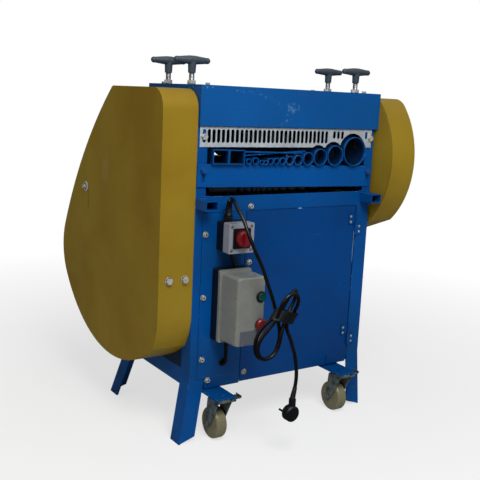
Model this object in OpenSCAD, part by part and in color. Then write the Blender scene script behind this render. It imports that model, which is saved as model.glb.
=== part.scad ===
// Cable stripping machine: a welded cabinet with a cutting head, drive covers and guide tubes.
// Sizes are in millimetres. X runs along the front, Y goes back and Z is up from the floor.
// The modules draw from the cabinet's front left corner, and home() moves them to the middle.

/* [Cabinet] */
// Width over the two front posts
cab_w = 520; // [516:1:526]
// Depth over the front and rear posts
cab_d = 330; // [326:1:340]
// Height of the cabinet's bottom edge above the floor
base_z = 115; // [113:1:118]
// Leg width of the angle that the posts are made from
post_w = 40; // [38:1:42]
// Thickness of the post's angle
post_t = 4; // [3:0.5:4]
// How far the left legs are splayed sideways, under the drive cover
splay_x = 36; // [20:1:45]
// How far the right legs are splayed sideways
right_splay_x = -6; // [-8:1:30]
// How far all legs are splayed forwards or backwards
splay_y = 24; // [10:1:30]
// Height of the bend where the legs start to splay
bend_z = 140; // [138:1:142]
// Slanted cut at the foot of each leg's front angle
foot_cut = 12; // [0:1:16]
// Thickness of the cabinet's sheet panels
sheet = 2; // [1.5:0.5:2]

/* [Head] */
// Height of the lower feed shafts
lower_z = 590; // [589:0.5:591]
// Height of the upper blade shafts above the lower ones
shaft_gap = 114; // [114:1:114]
// Distance of the front shafts behind the cabinet's front
front_y = 65; // [65:1:65]
// Distance between the front and rear shafts
shaft_pitch = 110; // [110:1:110]
// Radius of all shafts in their bearings
shaft_r = 17.5; // [16:0.5:17.5]
// Travel of the upper shafts above their lowest place
lift = 6; // [2:1:6]
// Height of the hood's lower edge
hood_z = 728; // [726:1:730]
// Height of the hood's top
hood_top = 817; // [815:1:820]

/* [Feed tray] */
// Height of the tray's shelf at the left post
tray_z = 645; // [644:0.5:646]
// Height of the tray's front plate
tray_h = 52; // [48:1:54]
// Slope at which the tray hangs in its slots
tray_tilt = 1.1; // [0:0.1:1.2]
// How far the guide tubes stick out in front
tube_out = 12; // [8:1:14]

/* [Covers] */
// Depth of the left drive cover
left_cover_w = 87; // [84:1:92]
// Depth of the right gear cover
right_cover_w = 78; // [76:1:80]
// Radius of the right cover's round outline
right_cover_r = 220; // [218:1:224]
// Thickness of both covers' sheet
cover_t = 2; // [1.5:0.5:2]

/* [Castors] */
// Diameter of the castor wheels
wheel_d = 75; // [72:1:76]
// Width of the castor wheels
wheel_w = 28; // [24:1:28]
// Distance of each wheel's axle behind its swivel
trail = 24; // [20:1:26]

/* [Hidden] */

// Colours as the photograph shows them
blue = [0.02, 0.12, 0.36];
yellow = [0.5, 0.38, 0.05];
steel = [0.62, 0.62, 0.62];
dark_steel = [0.3, 0.3, 0.31];
zinc = [0.78, 0.78, 0.76];
black = [0.06, 0.06, 0.06];
light_grey = [0.7, 0.7, 0.66];
cream = [0.72, 0.68, 0.56];

// Clearances: between sliding parts, around a running shaft and around a screw
gap = 0.3;
run = 0.05;
screw_gap = 0.3;

// Middle of the machine, which becomes the origin
latch_h = 8;
cover_bolt_h = 5;
x_min = -left_cover_w - latch_h;
x_max = cab_w + 10 + right_cover_w + cover_bolt_h;
front_reach = 116;
rear_reach = 573;
origin_x = (x_min + x_max) / 2;
origin_y = (rear_reach - front_reach) / 2;
module home() translate([-origin_x, -origin_y, 0]) children();

// Turns a drawing in the XY plane so that it lies in YZ and its height runs along X
module along_x(x = 0) translate([x, 0, 0]) rotate([90, 0, 90]) children();
// Turns a drawing in the XY plane so that it stands in XZ and its height runs along -Y
module along_front(y = 0) translate([0, y, 0]) rotate([90, 0, 0]) children();
// Repeats the children at the other side of the cabinet
module both_sides() {
    children();
    translate([cab_w, 0, 0]) mirror([1, 0, 0]) children();
}

// Cabinet levels
front_rail_z = 535;
front_rail_h = 36;
deck_z = front_rail_z + front_rail_h;
upper_z = lower_z + shaft_gap;
rear_y = front_y + shaft_pitch;
plate_x = post_t;
plate_t = 12;
plate_end = 240;
plate_low = 541;
bar_z = hood_top - 2 - 12;
block_y = 54;
block_z = 60;

module angle_post(top_z, side) {
    translate([0, 0, bend_z]) cube([post_w, post_t, deck_z - bend_z]);
    translate([0, 0, bend_z]) cube([post_t, post_w, deck_z - bend_z]);
    // Above the deck the front flange is narrower
    if (top_z > deck_z) {
        translate([0, 0, deck_z]) cube([head_flange, post_t, top_z - deck_z]);
        translate([0, 0, deck_z]) cube([post_t, post_w, top_z - deck_z]);
    }
    leg_flange(post_w, post_t, foot_cut, side);
    leg_flange(post_t, post_w, 0, side);
}
head_flange = 26;

// Foot point of a splayed leg: the same section, moved out more the lower it gets
function splayed(x, y, z, side) =
    [x - side * (bend_z - z) / bend_z, y - splay_y * (bend_z - z) / bend_z, z];

module leg_flange(w, d, rise, side) {
    polyhedron(
        points = [splayed(0, 0, 0, side), splayed(w, 0, rise, side), splayed(w, d, rise, side),
            splayed(0, d, 0, side), [0, 0, bend_z], [w, 0, bend_z], [w, d, bend_z], [0, d, bend_z]],
        faces = [[0, 1, 2, 3], [7, 6, 5, 4], [4, 5, 1, 0], [5, 6, 2, 1], [6, 7, 3, 2], [7, 4, 0, 3]]);
}
module post_pair(side) {
    angle_post(hood_z - 1, side);
    translate([0, cab_d, 0]) mirror([0, 1, 0]) angle_post(deck_z, side);
}

module posts() color(blue) home() {
    post_pair(splay_x);
    translate([cab_w, 0, 0]) mirror([1, 0, 0]) post_pair(right_splay_x);
    // Middle stile that the service panel and the door close on
    translate([stile_x, 0, rail_z + rail_h]) cube([36, post_t, front_rail_z - rail_z - rail_h]);
}
stile_x = 120;
rail_z = base_z + 6;
rail_h = 40;

module rails() color(blue) home() {
    inner_w = cab_w - 2 * post_w;
    side_l = cab_d - 2 * post_w;
    // Lower front rail, an angle that also carries the castors
    translate([post_w, 0, rail_z]) cube([inner_w - 1, post_t, rail_h]);
    translate([post_w, post_t, rail_z]) cube([inner_w - 1, 52, post_t]);
    // Lower rear rail
    translate([post_w, cab_d - post_t, rail_z]) cube([inner_w - 1, post_t, rail_h]);
    // Upper front rail, the band above the door
    translate([post_w, 0, front_rail_z]) cube([inner_w, post_t, front_rail_h]);
    translate([post_w, post_t, front_rail_z]) cube([inner_w, 20, post_t]);
    // Upper rear rail
    translate([post_w, cab_d - post_t, front_rail_z]) cube([inner_w, post_t, front_rail_h]);
    both_sides() {
        translate([0, post_w, rail_z]) cube([post_t, side_l, rail_h]);
        translate([0, post_w, front_rail_z]) cube([post_t, side_l, front_rail_h]);
    }
}

// Service panel and its screws
panel_x0 = 20;
panel_x1 = 137.5;
door_x0 = 139;
door_x1 = 474;
panel_top = front_rail_z - 0.6;
left_screws = [[28, base_z + 370], [28, base_z + 223], [30, base_z + 74]];
lug_screws = [[48, base_z + 21]];
rail_screws = [[150, base_z + 430]];
door_screws = [[151, base_z + 297], [151, base_z + 26]];
cable_hole = [88, base_z + 60];

module screw_holes(places, r) for (p = places) translate([p[0], p[1], -20]) cylinder(r = r, h = 60, $fn = 24);

module service_panel() color(blue) home() along_front(0) difference() {
    translate([panel_x0, base_z, 0]) cube([panel_x1 - panel_x0, panel_top - base_z, sheet]);
    // Corner cut away for the splayed leg
    translate([panel_x0 - 1, base_z - 1, -1]) cube([post_w + 2 - panel_x0, bend_z + 2 - base_z, sheet + 2]);
    screw_holes(left_screws, 3.3);
    screw_holes(lug_screws, 3.3);
    screw_holes([cable_hole], 7);
}

module body_panels() color(blue) home() {
    low = rail_z + rail_h;
    difference() {
        both_sides() translate([0, post_w, low]) cube([sheet, cab_d - 2 * post_w, 375 - low]);
        along_x(-1) translate([jack[0], jack[1], 0]) cylinder(r = 20, h = sheet + 2, $fn = 48);
    }
    translate([post_w, cab_d - sheet, low])
        cube([cab_w - 2 * post_w, sheet, front_rail_z - low]);
}

// Cutting head: thick side plates with windows for the sliding bearing blocks
module side_plate_outline() {
    difference() {
        translate([5, plate_low]) square([plate_end - 5, bar_z - plate_low]);
        for (y = [front_y, rear_y]) {
            translate([y - block_y / 2 - gap, upper_z - block_z / 2 - 1])
                square([block_y + 2 * gap, 200]);
            translate([y, lower_z]) circle(r = shaft_r + 3, $fn = 60);
        }
    }
}

module side_plates() color(blue) home() both_sides()
    along_x(plate_x) linear_extrude(plate_t) side_plate_outline();

handle_x = 17;
handle_r = 6;
handle_places = [[handle_x, front_y], [handle_x, rear_y]];

module top_bars() color(blue) home() both_sides() translate([0, 0, bar_z]) difference() {
    translate([post_t, 10, 0]) cube([36, 225, 12]);
    for (p = handle_places) translate([p[0], p[1], -1]) cylinder(r = handle_r + run, h = 14, $fn = 48);
    for (p = hood_screws) translate([p[0], p[1], -1]) cylinder(r = 3.3, h = 14, $fn = 24);
}

hood_x0 = 2;
hood_x1 = cab_w + 8;
hood_y0 = -6;
hood_y1 = plate_end + 4;
hood_screws = [[30, 16], [30, 222]];

module hood() color(blue) home() difference() {
    translate([hood_x0, hood_y0, hood_z]) cube([hood_x1 - hood_x0, hood_y1 - hood_y0, hood_top - hood_z]);
    translate([hood_x0 + sheet, hood_y0 + sheet, hood_z - 1])
        cube([hood_x1 - hood_x0 - 2 * sheet, hood_y1 - hood_y0 - 2 * sheet, hood_top - hood_z - 1]);
    both_sides() {
        for (p = handle_places) translate([p[0], p[1], hood_top - 5]) cylinder(r = 7, h = 8, $fn = 48);
        for (p = hood_screws) translate([p[0], p[1], hood_top - 5]) cylinder(r = 3.3, h = 8, $fn = 24);
    }
    // Hole for the upper stud of the right cover
    along_x(hood_x1 - 3) translate([right_studs[0][0], right_studs[0][1], 0]) cylinder(r = 9, h = 4, $fn = 36);
}

// Perforated guard strip below the hood
strip_z = hood_z - 46;
strip_x0 = 5;
strip_x1 = 511;
slot_w = 8.6;
slot_pitch = 12.4;
long_slots = 29;
module round_slot(x, z0, z1, w) {
    translate([x, z0 + w / 2]) circle(d = w, $fn = 16);
    translate([x, z1 - w / 2]) circle(d = w, $fn = 16);
    translate([x - w / 2, z0 + w / 2]) square([w, z1 - z0 - w]);
}
module guard_strip() color(zinc) home() along_front(0) linear_extrude(1.5) difference() {
    translate([strip_x0, strip_z]) square([strip_x1 - strip_x0, 45]);
    for (i = [0 : long_slots - 1]) round_slot(16 + i * slot_pitch, strip_z + 9.5, strip_z + 39.5, slot_w);
    for (i = [0 : 2]) round_slot(388 + i * 13, strip_z + 21, strip_z + 39.5, slot_w);
    round_slot(493, strip_z + 21, strip_z + 39.5, slot_w);
    // Arcs that clear the three largest guide tubes
    for (c = [10 : 12]) translate([tube_x(c), tube_z(c) + 2]) circle(r = tube_d(c) / 2 + 6, $fn = 72);
}

module infeed_sockets() color(blue) home() both_sides() translate([1, -45, 545]) difference() {
    cube([32, 45, 22]);
    translate([2, -1, 2]) cube([28, 47, 18]);
}

// Outline of a belt path or cover round two circles, given as [y, z, r]
function tangent_angle(a, b) =
    atan2(b[1] - a[1], b[0] - a[0]) + acos((a[2] - b[2]) / norm([b[0] - a[0], b[1] - a[1]]));
function tangent_low(a, b) =
    atan2(b[1] - a[1], b[0] - a[0]) - acos((a[2] - b[2]) / norm([b[0] - a[0], b[1] - a[1]]));
function on_circle(c, angle) = [c[0] + c[2] * cos(angle), c[1] + c[2] * sin(angle)];
module wrap(a, b) {
    up = tangent_angle(a, b);
    low = tangent_low(a, b);
    translate([a[0], a[1]]) circle(r = a[2], $fn = 96);
    translate([b[0], b[1]]) circle(r = b[2], $fn = 96);
    polygon([seam(a, low), seam(b, low), seam(b, up), seam(a, up)]);
}
// Corner of a belt's straight part, set a hair inside its circle
function seam(c, angle) = on_circle([c[0], c[1], c[2] - 0.02], angle);

// Centre of a circle of radius r that touches the two arcs from inside
function touching(a, b, r) = let (d = [b[0] - a[0], b[1] - a[1]], l = norm(d),
    u = (pow(a[2] - r, 2) - pow(b[2] - r, 2) + l * l) / (2 * l), h = sqrt(pow(a[2] - r, 2) - u * u))
    [a[0] + (u * d[0] - h * d[1]) / l, a[1] + (u * d[1] + h * d[0]) / l, r];
function direction(a, b) = atan2(b[1] - a[1], b[0] - a[0]);
module disc(c, d) translate([c[0], c[1]]) circle(r = c[2] + d, $fn = 180);
// All that lies inside a rounded corner, whose arc runs between the two angles
module corner(c, a0, a1, d) {
    disc(c, d);
    difference() {
        translate([-600, -600]) square(2400);
        translate([c[0], c[1]]) polygon([[0, 0], 2000 * [cos(a0), sin(a0)], 2000 * [cos(a1), sin(a1)]]);
    }
}

// Left cover: narrow at the top, with wide arcs at the back and below, and rounded corners
bottom_arc = [250, base_z + 399, 370];
rear_arc = [-431, base_z - 165, 1100];
heel = touching(bottom_arc, rear_arc, 130);
front_foot = [150, base_z + 187, 150];
top_corner = [45, 762, 45];
back_corner = [253.3, 792, 15];
cover_top = 807;
module left_outline(d) intersection() {
    disc(bottom_arc, d);
    disc(rear_arc, d);
    translate([-d, 0]) square([700, cover_top + d]);
    corner(heel, direction(bottom_arc, heel), direction(rear_arc, heel), d);
    corner(top_corner, 90, 180, d);
    corner(back_corner, direction(rear_arc, back_corner), 90, d);
    // Front edge with its rounded foot
    union() {
        disc(front_foot, d);
        translate([-10, front_foot[1]]) square([700, 700]);
        translate([26, 0]) square([700, 900]);
    }
}
module left_cover() color(yellow) home() difference() {
    along_x(-left_cover_w) linear_extrude(left_cover_w) left_outline(0);
    along_x(-left_cover_w + cover_t) linear_extrude(left_cover_w) left_outline(-cover_t);
    along_front(5) for (x = [-61, -21]) translate([x, base_z + 270, 0]) cylinder(d = 9, h = 10, $fn = 32);
    along_x(-left_cover_w - 1) translate([latch[0], latch[1], 0]) cylinder(d = 9, h = 5, $fn = 32);
}

// Right cover: a round pan with a flat top and two chords that meet at its bottom
right_x0 = cab_w + 10;
right_c = [157, base_z + 535];
right_corner = [22.5, 762, 45];
chord_slope = 0.4;
module right_outline(d) {
    low = right_c[1] - right_cover_r - d * norm([1, chord_slope]);
    reach = right_cover_r + 20;
    intersection() {
        translate(right_c) circle(r = right_cover_r + d, $fn = 180);
        translate([-200, 300]) square([700, cover_top - 300 + d]);
        corner(right_corner, 90, direction(right_c, right_corner), d);
        translate([right_c[0], low]) polygon([[0, 0], [reach, reach * chord_slope], [reach, 500], [-reach, 500],
            [-reach, reach * chord_slope]]);
    }
}
right_studs = [[150, base_z + 660], [228, base_z + 440], [228, base_z + 590], [20, base_z + 408]];
module right_cover() color(yellow) home() {
    right_pan();
    back_plate();
}
module right_pan() difference() {
    along_x(right_x0) linear_extrude(right_cover_w) right_outline(0);
    along_x(right_x0 - cover_t) linear_extrude(right_cover_w) right_outline(-cover_t);
    for (p = right_studs) along_x(right_x0) translate([p[0], p[1], 0])
        cylinder(r = 3.3, h = right_cover_w + 1, $fn = 24);
}
// Back plate that closes the right cover behind the gears, with holes for the shafts and studs
module back_plate() along_x(hood_x1 + gap) linear_extrude(1.5) difference() {
    right_outline(-cover_t - 0.5);
    for (y = [front_y, rear_y]) translate([y, lower_z]) circle(r = 20, $fn = 60);
    translate([idler_y, idler_z]) circle(r = 17, $fn = 48);
    translate([front_y, upper_z]) circle(r = 20, $fn = 60);
    translate([front_y, upper_z + lift]) circle(r = 20, $fn = 60);
    translate([front_y - 20, upper_z]) square([40, lift]);
    for (p = right_studs) translate([p[0], p[1]]) circle(r = 7.4, $fn = 36);
}

// Socket screw: a round head with a hexagon in it and a short shank behind, pointing along +Z
module socket_screw(d, head_h, shank) {
    difference() {
        cylinder(d = d, h = head_h, $fn = 24);
        translate([0, 0, head_h / 2]) cylinder(d = d * 0.5, h = head_h, $fn = 6);
    }
    if (shank > 0) translate([0, 0, -shank]) cylinder(d = d * 0.55, h = shank, $fn = 24);
}
module washer_screw(shank) {
    cylinder(d = 14.5, h = 1.2, $fn = 32);
    translate([0, 0, 1.2]) socket_screw(9.5, 4.4, shank > 0 ? shank + 1.2 : 0);
}
module hex_bolt(af, head_h, shank, shank_d) {
    cylinder(d = af * 1.155, h = head_h, $fn = 6);
    if (shank > 0) translate([0, 0, -shank]) cylinder(d = shank_d, h = shank, $fn = 24);
}

module fasteners() color(steel) home() {
    along_front(-sheet) for (p = concat(left_screws, lug_screws)) translate([p[0], p[1], 0]) washer_screw(2);
    along_front(0) for (p = rail_screws) translate([p[0], p[1], 0]) washer_screw(0);
    // Screws of the hood and lock nuts of the handles
    both_sides() {
        for (p = hood_screws) translate([p[0], p[1], hood_top]) hex_bolt(10, 5, 14, 6);
        for (p = handle_places) translate([p[0], p[1], hood_top]) difference() {
            cylinder(d = 22, h = 9, $fn = 6);
            translate([0, 0, -1]) cylinder(r = handle_r + run, h = 12, $fn = 48);
        }
    }
    left_cover_bolts();
    // Bolts of the guard strip
    along_front(-1.5) for (x = [16, cab_w - 14]) translate([x, strip_z + 23, 0]) hex_bolt(13, 5, 0, 6);
    // Clamp bolts of the tray, which pass its slots
    along_front(0) for (x = tray_bolts) translate([x, tray_level(x, tray_bolt_z), 0]) {
        cylinder(d = 7.4, h = 6, $fn = 24);
        translate([0, 0, 3.6]) cylinder(d = 18, h = 1.6, $fn = 32);
        translate([0, 0, 5.2]) cylinder(d = 15, h = 5, $fn = 6);
    }
    // Studs and bolts that hold the right cover
    along_x(0) for (p = right_studs) translate([p[0], p[1], 0]) {
        translate([0, 0, stud_foot(p)]) cylinder(d = 14, h = right_x0 + right_cover_w - cover_t - stud_foot(p), $fn = 6);
        translate([0, 0, right_x0 + right_cover_w]) cylinder(d = 15, h = cover_bolt_h, $fn = 6);
        translate([0, 0, right_x0 + right_cover_w - cover_t]) cylinder(d = 6, h = 3, $fn = 24);
    }
}
module left_cover_bolts() {
    // Two bolts through the cover's front rim and a latch with a cross pin on its face
    along_front(0) for (x = [-61, -21]) translate([x, base_z + 270, 0]) {
        cylinder(d = 20, h = 1.5, $fn = 32);
        hex_bolt(13, 7, 12, 8);
    }
    along_x(-left_cover_w) translate([latch[0], latch[1], 0]) mirror([0, 0, 1]) {
        cylinder(d = 12, h = latch_h, $fn = 32);
        translate([-9, 0, 5]) rotate([0, 90, 0]) cylinder(d = 5, h = 18, $fn = 24);
        translate([0, 0, -10]) cylinder(d = 8, h = 10, $fn = 24);
    }
}
latch = [414, base_z + 433];
function stud_foot(p) = p[1] < deck_z ? cab_w : cab_w - plate_x;

module bearing_housing(reach) difference() {
    union() {
        cylinder(r = 36, h = 8, $fn = 60);
        cylinder(r = 27, h = reach, $fn = 60);
    }
    translate([0, 0, -1]) cylinder(r = shaft_r + run, h = reach + 2, $fn = 60);
}
module flange_bearings() color(dark_steel) home() both_sides() for (y = [front_y, rear_y])
    along_x(plate_x + plate_t) translate([y, lower_z, 0]) bearing_housing(22);

// Bearing cartridge of the jack shaft, bolted inside the left side panel
jack = [150, base_z + 178.6];
jack_r = 15;
module jack_cartridge() color(dark_steel) home() along_x(sheet) translate([jack[0], jack[1], 0])
    difference() {
        union() {
            translate([-55, -55, 0]) cube([110, 110, 10]);
            cylinder(r = 34, h = 130, $fn = 72);
        }
        translate([0, 0, -1]) cylinder(r = jack_r + run, h = 140, $fn = 72);
    }

// Gearmotor on a shelf behind the cabinet
motor = [440, base_z + 255];
motor_r = 78;
module gearmotor() color(blue) home() {
    along_x(0) translate([motor[0], motor[1], 0]) {
        difference() {
            translate([-82, -84, 8]) cube([164, 164, 84]);
            translate([0, 0, 7]) cylinder(r = 12 + run, h = 60, $fn = 48);
        }
        // Casing between two end rings, and the fan cover
        translate([0, 0, 92]) cylinder(r = motor_r - 5, h = 172, $fn = 96);
        for (z = [92, 254]) translate([0, 0, z]) cylinder(r = motor_r, h = 8, $fn = 96);
        translate([0, 0, 262]) cylinder(r = motor_r + 3, h = 36, $fn = 96);
    }
    // Terminal box
    translate([150, motor[0] - 45, motor[1] + motor_r - 6]) cube([90, 90, 42]);
    // Feet
    for (x = [100, 220]) translate([x, motor[0] - 70, motor[1] - 84]) cube([30, 140, 30]);
}

shelf_z = motor[1] - 84;
module motor_shelf() color(blue) home() {
    translate([4, cab_d, shelf_z - 6]) cube([330, 200, 6]);
    for (x = [4, 328]) translate([x, cab_d, shelf_z - 6]) mirror([0, 0, 1])
        rotate([90, 0, 90]) linear_extrude(6) polygon([[0, 0], [190, 0], [0, 90]]);
}

// Belt drive
big_r = 125;
small_r = 55;
belt_x = [-74, -56];
belt_w = 12;
module v_belts() color(black) home() for (x = belt_x) along_x(x) linear_extrude(belt_w) difference() {
    wrap([jack[0], jack[1], big_r], [motor[0], motor[1], small_r]);
    wrap([jack[0], jack[1], big_r - 9], [motor[0], motor[1], small_r - 9]);
}
module pulley(r, bore_r, hub_r, holes) {
    difference() {
        cylinder(r = r, h = 40, $fn = 96);
        if (bore_r > 0) translate([0, 0, -1]) cylinder(r = bore_r, h = 42, $fn = 48);
        for (x = belt_x) translate([0, 0, x + 78]) difference() {
            translate([0, 0, -gap - 0.2]) cylinder(r = r + 5, h = belt_w + 2 * gap + 0.4, $fn = 96);
            translate([0, 0, -2]) cylinder(r = r - 9.5, h = belt_w + 4, $fn = 96);
        }
        if (holes > 0) for (i = [0 : holes - 1]) rotate([0, 0, i * 360 / holes])
            translate([(r - 14 + hub_r) / 2, 0, -1]) cylinder(r = (r - 20 - hub_r) / 2, h = 42, $fn = 48);
    }
}
module big_pulley() color(dark_steel) home() along_x(-78) translate([jack[0], jack[1], 0])
    pulley(big_r, jack_r, 30, 5);
module motor_pulley() color(dark_steel) home() along_x(-78) translate([motor[0], motor[1], 0]) {
    pulley(small_r, 0, 20, 0);
    cylinder(r = 12, h = 140, $fn = 48);
}

// Chain drive between the jack shaft and the front feed roller
chain_p = 15.875;
chain_x = -26;
jack_teeth = 14;
feed_teeth = 20;
function sprocket_r(teeth) = chain_p / (2 * sin(180 / teeth));
roller_r = 5.1;
module sprocket(teeth) linear_extrude(7) difference() {
    circle(r = sprocket_r(teeth) + 3, $fn = 96);
    for (i = [0 : teeth - 1]) rotate(i * 360 / teeth) translate([sprocket_r(teeth), 0])
        circle(r = roller_r + 0.3, $fn = 24);
    for (i = [0 : teeth - 1]) rotate(i * 360 / teeth) translate([sprocket_r(teeth) + 4, 0])
        square([8, 2 * roller_r + 0.6], center = true);
}
// Roller chain: its pins lie at an equal pitch on a closed path round both sprockets
chain_a = [jack[0], jack[1], sprocket_r(jack_teeth)];
chain_b = [front_y, lower_z, sprocket_r(feed_teeth)];
chain_up = tangent_angle(chain_a, chain_b);
chain_low = tangent_low(chain_a, chain_b);
strand = norm(on_circle(chain_b, chain_up) - on_circle(chain_a, chain_up));
arc_b = chain_b[2] * (chain_up - chain_low) * PI / 180;
arc_a = chain_a[2] * (360 - chain_up + chain_low) * PI / 180;
links = 56;
link_l = (2 * strand + arc_a + arc_b) / links;
function between(p, q, u) = p + (q - p) * u;
// Place of a pin, s along the path from the lower strand's start
function chain_at(s) = s < strand ?
    between(on_circle(chain_a, chain_low), on_circle(chain_b, chain_low), s / strand)
    : s < strand + arc_b ? on_circle(chain_b, chain_low + (s - strand) / chain_b[2] * 180 / PI)
    : s < 2 * strand + arc_b ?
        between(on_circle(chain_b, chain_up), on_circle(chain_a, chain_up), (s - strand - arc_b) / strand)
    : on_circle(chain_a, chain_up + (s - 2 * strand - arc_b) / chain_a[2] * 180 / PI);
pins = [for (i = [0 : links - 1]) chain_at((i + 0.5) * link_l)];
// True where a pin is clear of both sprockets, so that it can cross between the plates
function clear_of(c, p) = norm([p[0] - c[0], p[1] - c[1]]) > c[2] + 9;
module link_plate(p, q) {
    translate(p) circle(r = 6.8, $fn = 24);
    translate(q) circle(r = 6.8, $fn = 24);
    translate((p + q) / 2) rotate(atan2(q[1] - p[1], q[0] - p[0])) square([link_l, 9.6], center = true);
}
module chain() color(dark_steel) home() {
    for (x = [-27.9, -18.6]) along_x(x) linear_extrude(1.5) for (i = [0 : 2 : links - 1])
        link_plate(pins[i], pins[i + 1]);
    for (x = [-29.6, -16.9]) along_x(x) linear_extrude(1.5) for (i = [1 : 2 : links - 1])
        link_plate(pins[i], pins[(i + 1) % links]);
    for (p = pins) {
        if (clear_of(chain_a, p) && clear_of(chain_b, p)) {
            along_x(-30.2) translate(p) cylinder(r = 2.6, h = 15.4, $fn = 24);
            along_x(-26.6) translate(p) cylinder(r = roller_r, h = 8.2, $fn = 24);
        } else {
            for (x = [-30.2, -18.5]) along_x(x) translate(p) cylinder(r = 2.6, h = 3.7, $fn = 24);
        }
    }
}
module driven_sprocket() color(dark_steel) home() along_x(chain_x) translate([front_y, lower_z, 0])
    difference() {
        union() {
            sprocket(feed_teeth);
            cylinder(r = 28, h = 20, $fn = 60);
        }
        translate([0, 0, -1]) cylinder(r = shaft_r, h = 30, $fn = 60);
    }
module jack_shaft() color(steel) home() along_x(0) translate([jack[0], jack[1], 0]) {
    translate([0, 0, -80]) cylinder(r = jack_r, h = 225, $fn = 72);
    translate([0, 0, chain_x]) sprocket(jack_teeth);
    translate([0, 0, chain_x - 8]) cylinder(r = 24, h = 26, $fn = 60);
}

// Channels: place along X, tube diameter, feed wheel radius and blade radius
channels = [[131, 14, 50, 61], [150, 17, 50, 59], [167, 11, 50, 61], [178.5, 11, 50, 61],
    [192, 16, 50, 60], [209, 17, 50, 60], [227, 18, 50, 59], [248, 22, 50, 56], [273, 25, 50, 52],
    [303, 32, 50, 46], [340, 41, 46, 42], [387, 50, 42, 36], [449, 72, 32, 30]];
flat_channels = [[55.5, 42], [98, 42]];
flat_h = 33;
tube_t = 2;
function tube_d(c) = channels[c][1];
function tube_x(c) = channels[c][0];
function tube_z(c) = tray_level(tube_x(c), tray_z) + tube_d(c) / 2;

module front_feed_roller() color(steel) home() along_x(0) translate([front_y, lower_z, 0]) {
    translate([0, 0, -36]) cylinder(r = shaft_r, h = cab_w + 10 + 62 + 36, $fn = 72);
    for (c = channels) translate([0, 0, c[0] - wheel_half(c)])
        feed_wheel(c[2], 2 * wheel_half(c));
    translate([0, 0, 44]) cylinder(r = 48, h = 78, $fn = 96);
}
function wheel_half(c) = min(c[1] / 2, 26);
// Wheel with a shallow groove that centres the cable
module feed_wheel(r, w) rotate_extrude($fn = 96) polygon([[shaft_r - 2, 0], [r, 0], [r, w * 0.08],
    [r - min(4, w * 0.18), w / 2], [r, w * 0.92], [r, w], [shaft_r - 2, w]]);

module rear_feed_roller() color(steel) home() along_x(0) translate([rear_y, lower_z, 0]) {
    translate([0, 0, 4]) cylinder(r = shaft_r, h = cab_w + 62, $fn = 72);
    translate([0, 0, 44]) cylinder(r = 42, h = cab_w - 88, $fn = 96);
    translate([0, 0, 40]) cylinder(r = 59, h = 285, $fn = 96);
}
module press_roller() color(steel) home() along_x(0) translate([rear_y, upper_z, 0]) {
    translate([0, 0, 6]) cylinder(r = shaft_r, h = cab_w - 12, $fn = 72);
    translate([0, 0, 48]) cylinder(r = 40, h = cab_w - 96, $fn = 96);
    translate([0, 0, 40]) cylinder(r = 46, h = 285, $fn = 96);
}
module blade_shaft() color(steel) home() along_x(0) translate([front_y, upper_z, 0]) {
    translate([0, 0, 6]) cylinder(r = shaft_r, h = cab_w + 34, $fn = 72);
}
blade_t = 4;
module blades() color(zinc) home() along_x(0) translate([front_y, upper_z, 0]) {
    for (c = channels) translate([0, 0, c[0] - blade_t / 2]) blade(c[3]);
    for (f = flat_channels) translate([0, 0, f[0] - blade_t / 2]) blade(46);
}
module blade(r) rotate_extrude($fn = 96) polygon([[shaft_r, 0], [r - 5, 0], [r, blade_t / 2],
    [r - 5, blade_t], [shaft_r, blade_t]]);

// Spur gear with straight-flanked teeth and the first tooth turned to the given phase
module spur_gear(teeth, m, w, phase, bore_r) difference() {
    linear_extrude(w) union() {
        circle(r = teeth * m / 2 - 1.25 * m, $fn = 96);
        for (i = [0 : teeth - 1]) rotate(phase + i * 360 / teeth)
            polygon([[teeth * m / 2 - 1.6 * m, -0.95 * m], [teeth * m / 2, -0.72 * m],
                [teeth * m / 2 + 0.9 * m, -0.36 * m], [teeth * m / 2 + 0.9 * m, 0.36 * m],
                [teeth * m / 2, 0.72 * m], [teeth * m / 2 - 1.6 * m, 0.95 * m]]);
    }
    translate([0, 0, -1]) cylinder(r = bore_r, h = w + 2, $fn = 60);
}
big_teeth = 19;
big_m = 6;
small_teeth = 16;
small_m = 5;
gear_x = cab_w + 12;
small_gear_x = gear_x + 30;
idler_y = front_y + shaft_pitch / 2;
idler_z = lower_z - sqrt(pow(small_teeth * small_m, 2) - pow(shaft_pitch / 2, 2));
// Phase of a gear that meshes with another of the same size in the direction given
function meshed(phase, dir, teeth) = 2 * dir + 180 - phase + 180 / teeth;
idler_dir = atan2(idler_z - lower_z, shaft_pitch / 2);
idler_phase = meshed(0, idler_dir, small_teeth);
rear_phase = meshed(idler_phase, -idler_dir, small_teeth);

module front_feed_gears() color(dark_steel) home() {
    along_x(gear_x) translate([front_y, lower_z, 0]) spur_gear(big_teeth, big_m, 24, 90, shaft_r);
    along_x(small_gear_x) translate([front_y, lower_z, 0])
        spur_gear(small_teeth, small_m, 20, 0, shaft_r);
}
module blade_gear() color(dark_steel) home() along_x(gear_x) translate([front_y, upper_z, 0])
    spur_gear(big_teeth, big_m, 24, 270 + 180 / big_teeth, shaft_r);
module rear_feed_gear() color(dark_steel) home() along_x(small_gear_x) translate([rear_y, lower_z, 0])
    spur_gear(small_teeth, small_m, 20, rear_phase, shaft_r);
module idler_gear() color(dark_steel) home() along_x(small_gear_x) translate([idler_y, idler_z, 0])
    spur_gear(small_teeth, small_m, 20, idler_phase, 12 + run);
module idler_axle() color(steel) home() along_x(0) translate([idler_y, idler_z, 0]) {
    translate([0, 0, cab_w]) cylinder(r = 15, h = small_gear_x - gap - cab_w, $fn = 48);
    translate([0, 0, cab_w]) cylinder(r = 12, h = small_gear_x + 26 - cab_w, $fn = 48);
}

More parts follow.
